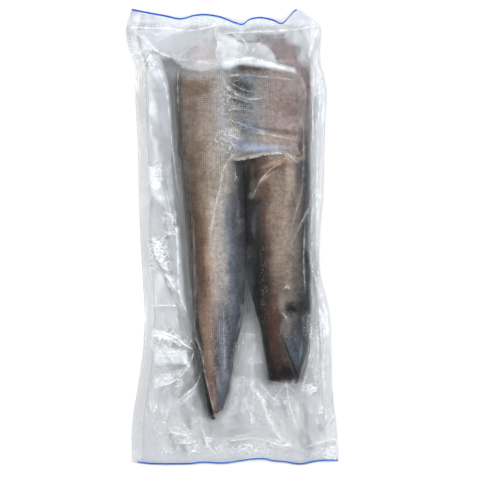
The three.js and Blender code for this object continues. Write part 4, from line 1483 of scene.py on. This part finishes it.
# The direction of the painted light on tilted loose film, and the tilts between which a side turned to
# or from it shows
LIT_FROM = (0.95, 0.25, 0.0)
TILTS = (0.03, 0.4)
CLEAR = (0.912, 0.919, 0.932, 1)
DEEP = (0.30, 0.305, 0.31, 1)
EMBOSS_RELIEF = 0.25
GLINT_RELIEF = 0.4
film_relief = emboss * EMBOSS_RELIEF + glints * GLINT_RELIEF
film_normal = film_signal.node("ShaderNodeBump", {}, {
    "Strength": 1.0, "Distance": 0.0004, "Height": film_relief})
touching = film_value("touching")
seal = film_value("seal")
# The painted sheen of the panes, and below zero their painted shade
pane = film_value("pane")
slope = film_signal.node("ShaderNodeLayerWeight", {}, {"Blend": 0.5, "Normal": film_normal}, 1)
# Painted light and shade: loose film tilted towards LIT_FROM is whitened and film tilted away is dimmed,
# by a fixed direction and not by the lamps
lit_side = film_signal.node("ShaderNodeNewGeometry", {}, {}, 1).vector("DOT_PRODUCT", LIT_FROM, 1)
tilt = lit_side * (1 - touching)
rim_line = 1 - film_value("from_rim").fade(*RIM_LINE)
seal_line = seal * (1 - seal) * 4
tight_mesh = TIGHT_MESH_SHADE + patchy * (PATCHY_MESH_SHADE - speckled * SPECKLED_MESH_LESS)
shadowed = rim_line * RIM_SHADE + seal_line * SEAL_LINE_SHADE
shadowed = shadowed + (1 - emboss) * (LOOSE_MESH_SHADE + touching * tight_mesh)
shadowed = shadowed + slope.fade(0.0, 1.0) * SLOPE_SHADE + (pane * -1).math("MAXIMUM", 0.0)
shadowed = shadowed + crest_shade * DARK_LINE_SHADE + dark_specks * DARK_SPECK_SHADE
shadowed = shadowed + speckled * (1 - emboss) * SPECKLED_SHADE
shadowed = (shadowed + (tilt * -1).fade(*TILTS) * TURNED_AWAY_SHADE).clamp()
clear = film_signal.node("ShaderNodeBsdfTransparent", {}, {"Color": CLEAR})
deep = film_signal.node("ShaderNodeBsdfTransparent", {}, {"Color": DEEP})
through = film_signal.node("ShaderNodeMixShader", {}, {0: shadowed, 1: clear, 2: deep})

# %% What covers the film: mirror and white
MIRROR_GAIN = 1.4
TIGHT_MIRROR_LESS = 1.2
MOST_MIRROR = 0.3
# Shares of white for each feature, with the mesh on loose film and how much less it is on the fish
MESH_WHITE = 0.026
TIGHT_MESH_LESS = 0.018
SEAL_WHITE = 0.16
FROST_AND_SHEEN_WHITE = 0.9
LIT_WHITE = 0.14
CREST_HIGHLIGHT_WHITE = 0.75
GLINT_WHITE = 0.9
SPECK_WHITE = 0.24
LEAST_WHITE = 0.004
# The painted sheen of a pane: all over, where it is broken up, and on the mesh
PANE_PARTS = (0.8, 0.16, 0.04)
PLAIN_WHITE = (0.92, 0.925, 0.92, 1)
VEIL_WHITE = (0.87, 0.93, 1.0, 1)
# Painted crest highlights where the film touches the fish are tinted cream
CREAM_LINE = (0.92, 0.86, 0.76, 1)
CREAM_LEVELS = (0.1, 0.6)
LOOSE_ROUGHNESS = 0.16
TIGHT_ROUGHNESS = 0.2
fresnel = film_signal.node("ShaderNodeFresnel", {}, {"IOR": 1.5})
mirror = (fresnel * (MIRROR_GAIN - touching * TIGHT_MIRROR_LESS)).math("MINIMUM", MOST_MIRROR)
pane_sheen = pane * (PANE_PARTS[0] + broken * PANE_PARTS[1] + emboss * PANE_PARTS[2])
veil = (film_value("frost") * FROST_AND_SHEEN_WHITE).math("MAXIMUM", pane_sheen)
haze = emboss * (MESH_WHITE - touching * TIGHT_MESH_LESS) + seal * SEAL_WHITE + veil
haze = haze + tilt.fade(*TILTS) * LIT_WHITE + crest_highlight * CREST_HIGHLIGHT_WHITE
haze = haze + glints * GLINT_WHITE + white_specks * SPECK_WHITE + LEAST_WHITE
white = (veil / haze).clamp().colours(PLAIN_WHITE, VEIL_WHITE)
white = (crest_highlight * touching).fade(*CREAM_LEVELS).colours(white, CREAM_LINE)
film_surface = film_signal.node("ShaderNodeBsdfPrincipled", {}, {
    "Base Color": white, "Metallic": mirror / (mirror + haze),
    "Roughness": LOOSE_ROUGHNESS + touching * TIGHT_ROUGHNESS, "Normal": film_normal})
film_cover = (mirror + haze).clamp()
film_finish = film_show(film_signal.node("ShaderNodeMixShader", {}, {
    0: film_cover, 1: through, 2: film_surface}))
print("film finish:", len(film_signal.tree.nodes), "nodes")

# %% Film object
film_points, film_faces = two_sided(upper_sheet, lower_sheet)
film = make_object("film_pouch", film_points, film_faces, film_finish)
for value_name, upper_layer in upper_values.items():
    inner_layer = lower_values[value_name][1:-1, 1:-1]
    add_values(film, value_name, np.concatenate([upper_layer.ravel(), inner_layer.ravel()]))
film_shape = upper_sheet.shape[:2]
on_rim = np.zeros(len(film_points), bool)
on_rim[: film_shape[0] * film_shape[1]] = rim_distance(*film_shape).ravel() < ON_RIM
edge_ends = np.zeros(2 * len(film.data.edges), np.int32)
film.data.edges.foreach_get("vertices", edge_ends)
film.data.edges.foreach_set("use_edge_sharp", on_rim[edge_ends.reshape(-1, 2)].all(axis=1))
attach(film, "root")
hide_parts(POUCH_NODE)
print("film skin:", len(film_points), "points,", len(film_faces), "faces")

# %% [markdown]
# ## Blue lines
# A thin blue line runs along each end of the film, and a short stretch of the back sheet's line shows
# at the left of the head end. Each is a flat ribbon laid on the film, found by following one line of the
# film's grid, at the edge or a little way in. A printed stripe in the film's finish would do as well,
# but a ribbon keeps its sharp border from near.

# %% Ribbons along the ends
LINE_LIFT = 0.18
line_signal, line_show = new_material("blue_print")
line_place = line_signal.node("ShaderNodeTexCoord", {}, {}, 3)
line_grain = noise(line_place, 220.0, 2.0)
line_finish = line_show(line_signal.node("ShaderNodeBsdfPrincipled", {}, {
    "Base Color": line_grain.fade(0.3, 0.7).colours(shade(0, 72, 172), shade(0, 98, 204)),
    "Roughness": 0.5, "Specular IOR Level": 0.1,
}))


def ribbon(name, sheet, end, side, inset, width, first, last):
    """A flat ribbon on the upper (1) or lower (-1) side of a sheet, inset millimetres from its tail (0)
    or head (-1) end, from the first to the last share of that end's width."""
    rows, columns = sheet.shape[:2]
    order = sheet if end == 0 else sheet[::-1]
    step = np.linalg.norm(order[1, columns // 2] - order[0, columns // 2])
    chosen = slice(int(first * (columns - 1)), int(last * (columns - 1)) + 1)

    def line_at(distance):
        place = max(distance / step, 0)
        low = int(place)
        return order[low, chosen] * (1 - place + low) + order[low + 1, chosen] * (place - low)

    outer = line_at(inset)
    inner = line_at(inset + width)
    lift = np.array([0, 0, LINE_LIFT * side])
    count = len(outer)
    points = np.vstack([outer + lift, inner + lift, inner + 2 * lift, outer + 2 * lift])
    faces = []
    for place in range(count - 1):
        for lane in range(4):
            a = lane * count + place
            b = (lane + 1) % 4 * count + place
            faces.append([a, a + 1, b + 1, b])
    faces.append([lane * count for lane in range(4)])
    faces.append([lane * count + count - 1 for lane in (3, 2, 1, 0)])
    made = make_object(name, points, faces, line_finish, smooth=False)
    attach(made, "root")
    return made


ribbon("blue_line_head", upper_sheet, end=-1, side=1, inset=0.0, width=1.5, first=0.0, last=0.865)
ribbon("blue_line_tail", upper_sheet, end=0, side=1, inset=0.8, width=1.2, first=0.03, last=1.0)
ribbon("blue_line_back", lower_sheet, end=-1, side=-1, inset=3.0, width=1.2, first=0.0, last=0.12)

# %% [markdown]
# ## Floor, light and camera
# A plain white floor, soft lights round the pack and a camera that looks straight down on it. The
# overhead box isn't mirrored in the film, because a mirror image of that size would hide the fish.

# %% Floor
floor_signal, floor_show = new_material("studio_floor")
floor_finish = floor_show(floor_signal.node("ShaderNodeBsdfPrincipled", {}, {
    "Base Color": (0.9, 0.9, 0.9, 1), "Roughness": 0.8}))
FLOOR_HALF = 2500.0
floor_corners = [(x * FLOOR_HALF, y * FLOOR_HALF, 0) for x, y in ((-1, -1), (1, -1), (1, 1), (-1, 1))]
floor = make_object("studio_floor", floor_corners, [[0, 1, 2, 3]], floor_finish)

# %% Lights
AIR_LIGHT = 0.2
scene = bpy.context.scene
world = bpy.data.worlds.new("studio_air")
scene.world = world
world.use_nodes = True
background = world.node_tree.nodes["Background"]
background.inputs["Color"].default_value = (1.0, 1.0, 1.0, 1)
background.inputs["Strength"].default_value = AIR_LIGHT


def softbox(name, place, size, power):
    """A flat light of size (across, along) metres that faces the pack."""
    light = bpy.data.lights.new(name, "AREA")
    light.shape = "RECTANGLE"
    light.size, light.size_y = size
    light.energy = power
    lamp = bpy.data.objects.new(name, light)
    lamp.location = place
    lamp.rotation_euler = (-Vector(place)).to_track_quat("-Z", "Y").to_euler()
    scene.collection.objects.link(lamp)
    return lamp


overhead = softbox("overhead_softbox", (0.0, 0.0, 2.6), (2.4, 2.4), 45)
overhead.visible_glossy = False
softbox("window_panel", (-0.70, 0.50, 2.0), (0.8, 0.8), 6.5)
softbox("head_panel", (0.1, 0.85, 1.2), (0.9, 0.10), 3.4)
softbox("left_panel", (-0.85, 0.1, 1.2), (0.10, 0.9), 3.4)
softbox("right_panel", (0.85, 0.0, 1.2), (0.10, 0.9), 3.4)
softbox("tail_panel", (0.0, -0.85, 1.2), (0.8, 0.10), 3.0)

# %% Camera
CAMERA_HEIGHT = 2.2
# The picture is this wide, in metres, at this height above the floor
IMAGE_SPAN = 0.455
SPAN_HEIGHT = 0.015
IMAGE_CENTRE = (0.00736, -0.00285)
SENSOR_WIDTH = 36.0
camera_data = bpy.data.cameras.new("camera")
camera_data.sensor_width = SENSOR_WIDTH
camera_data.lens = SENSOR_WIDTH * (CAMERA_HEIGHT - SPAN_HEIGHT) / IMAGE_SPAN
camera = bpy.data.objects.new("camera", camera_data)
camera.location = (*IMAGE_CENTRE, CAMERA_HEIGHT)
scene.collection.objects.link(camera)
scene.camera = camera
scene.view_settings.view_transform = "Standard"
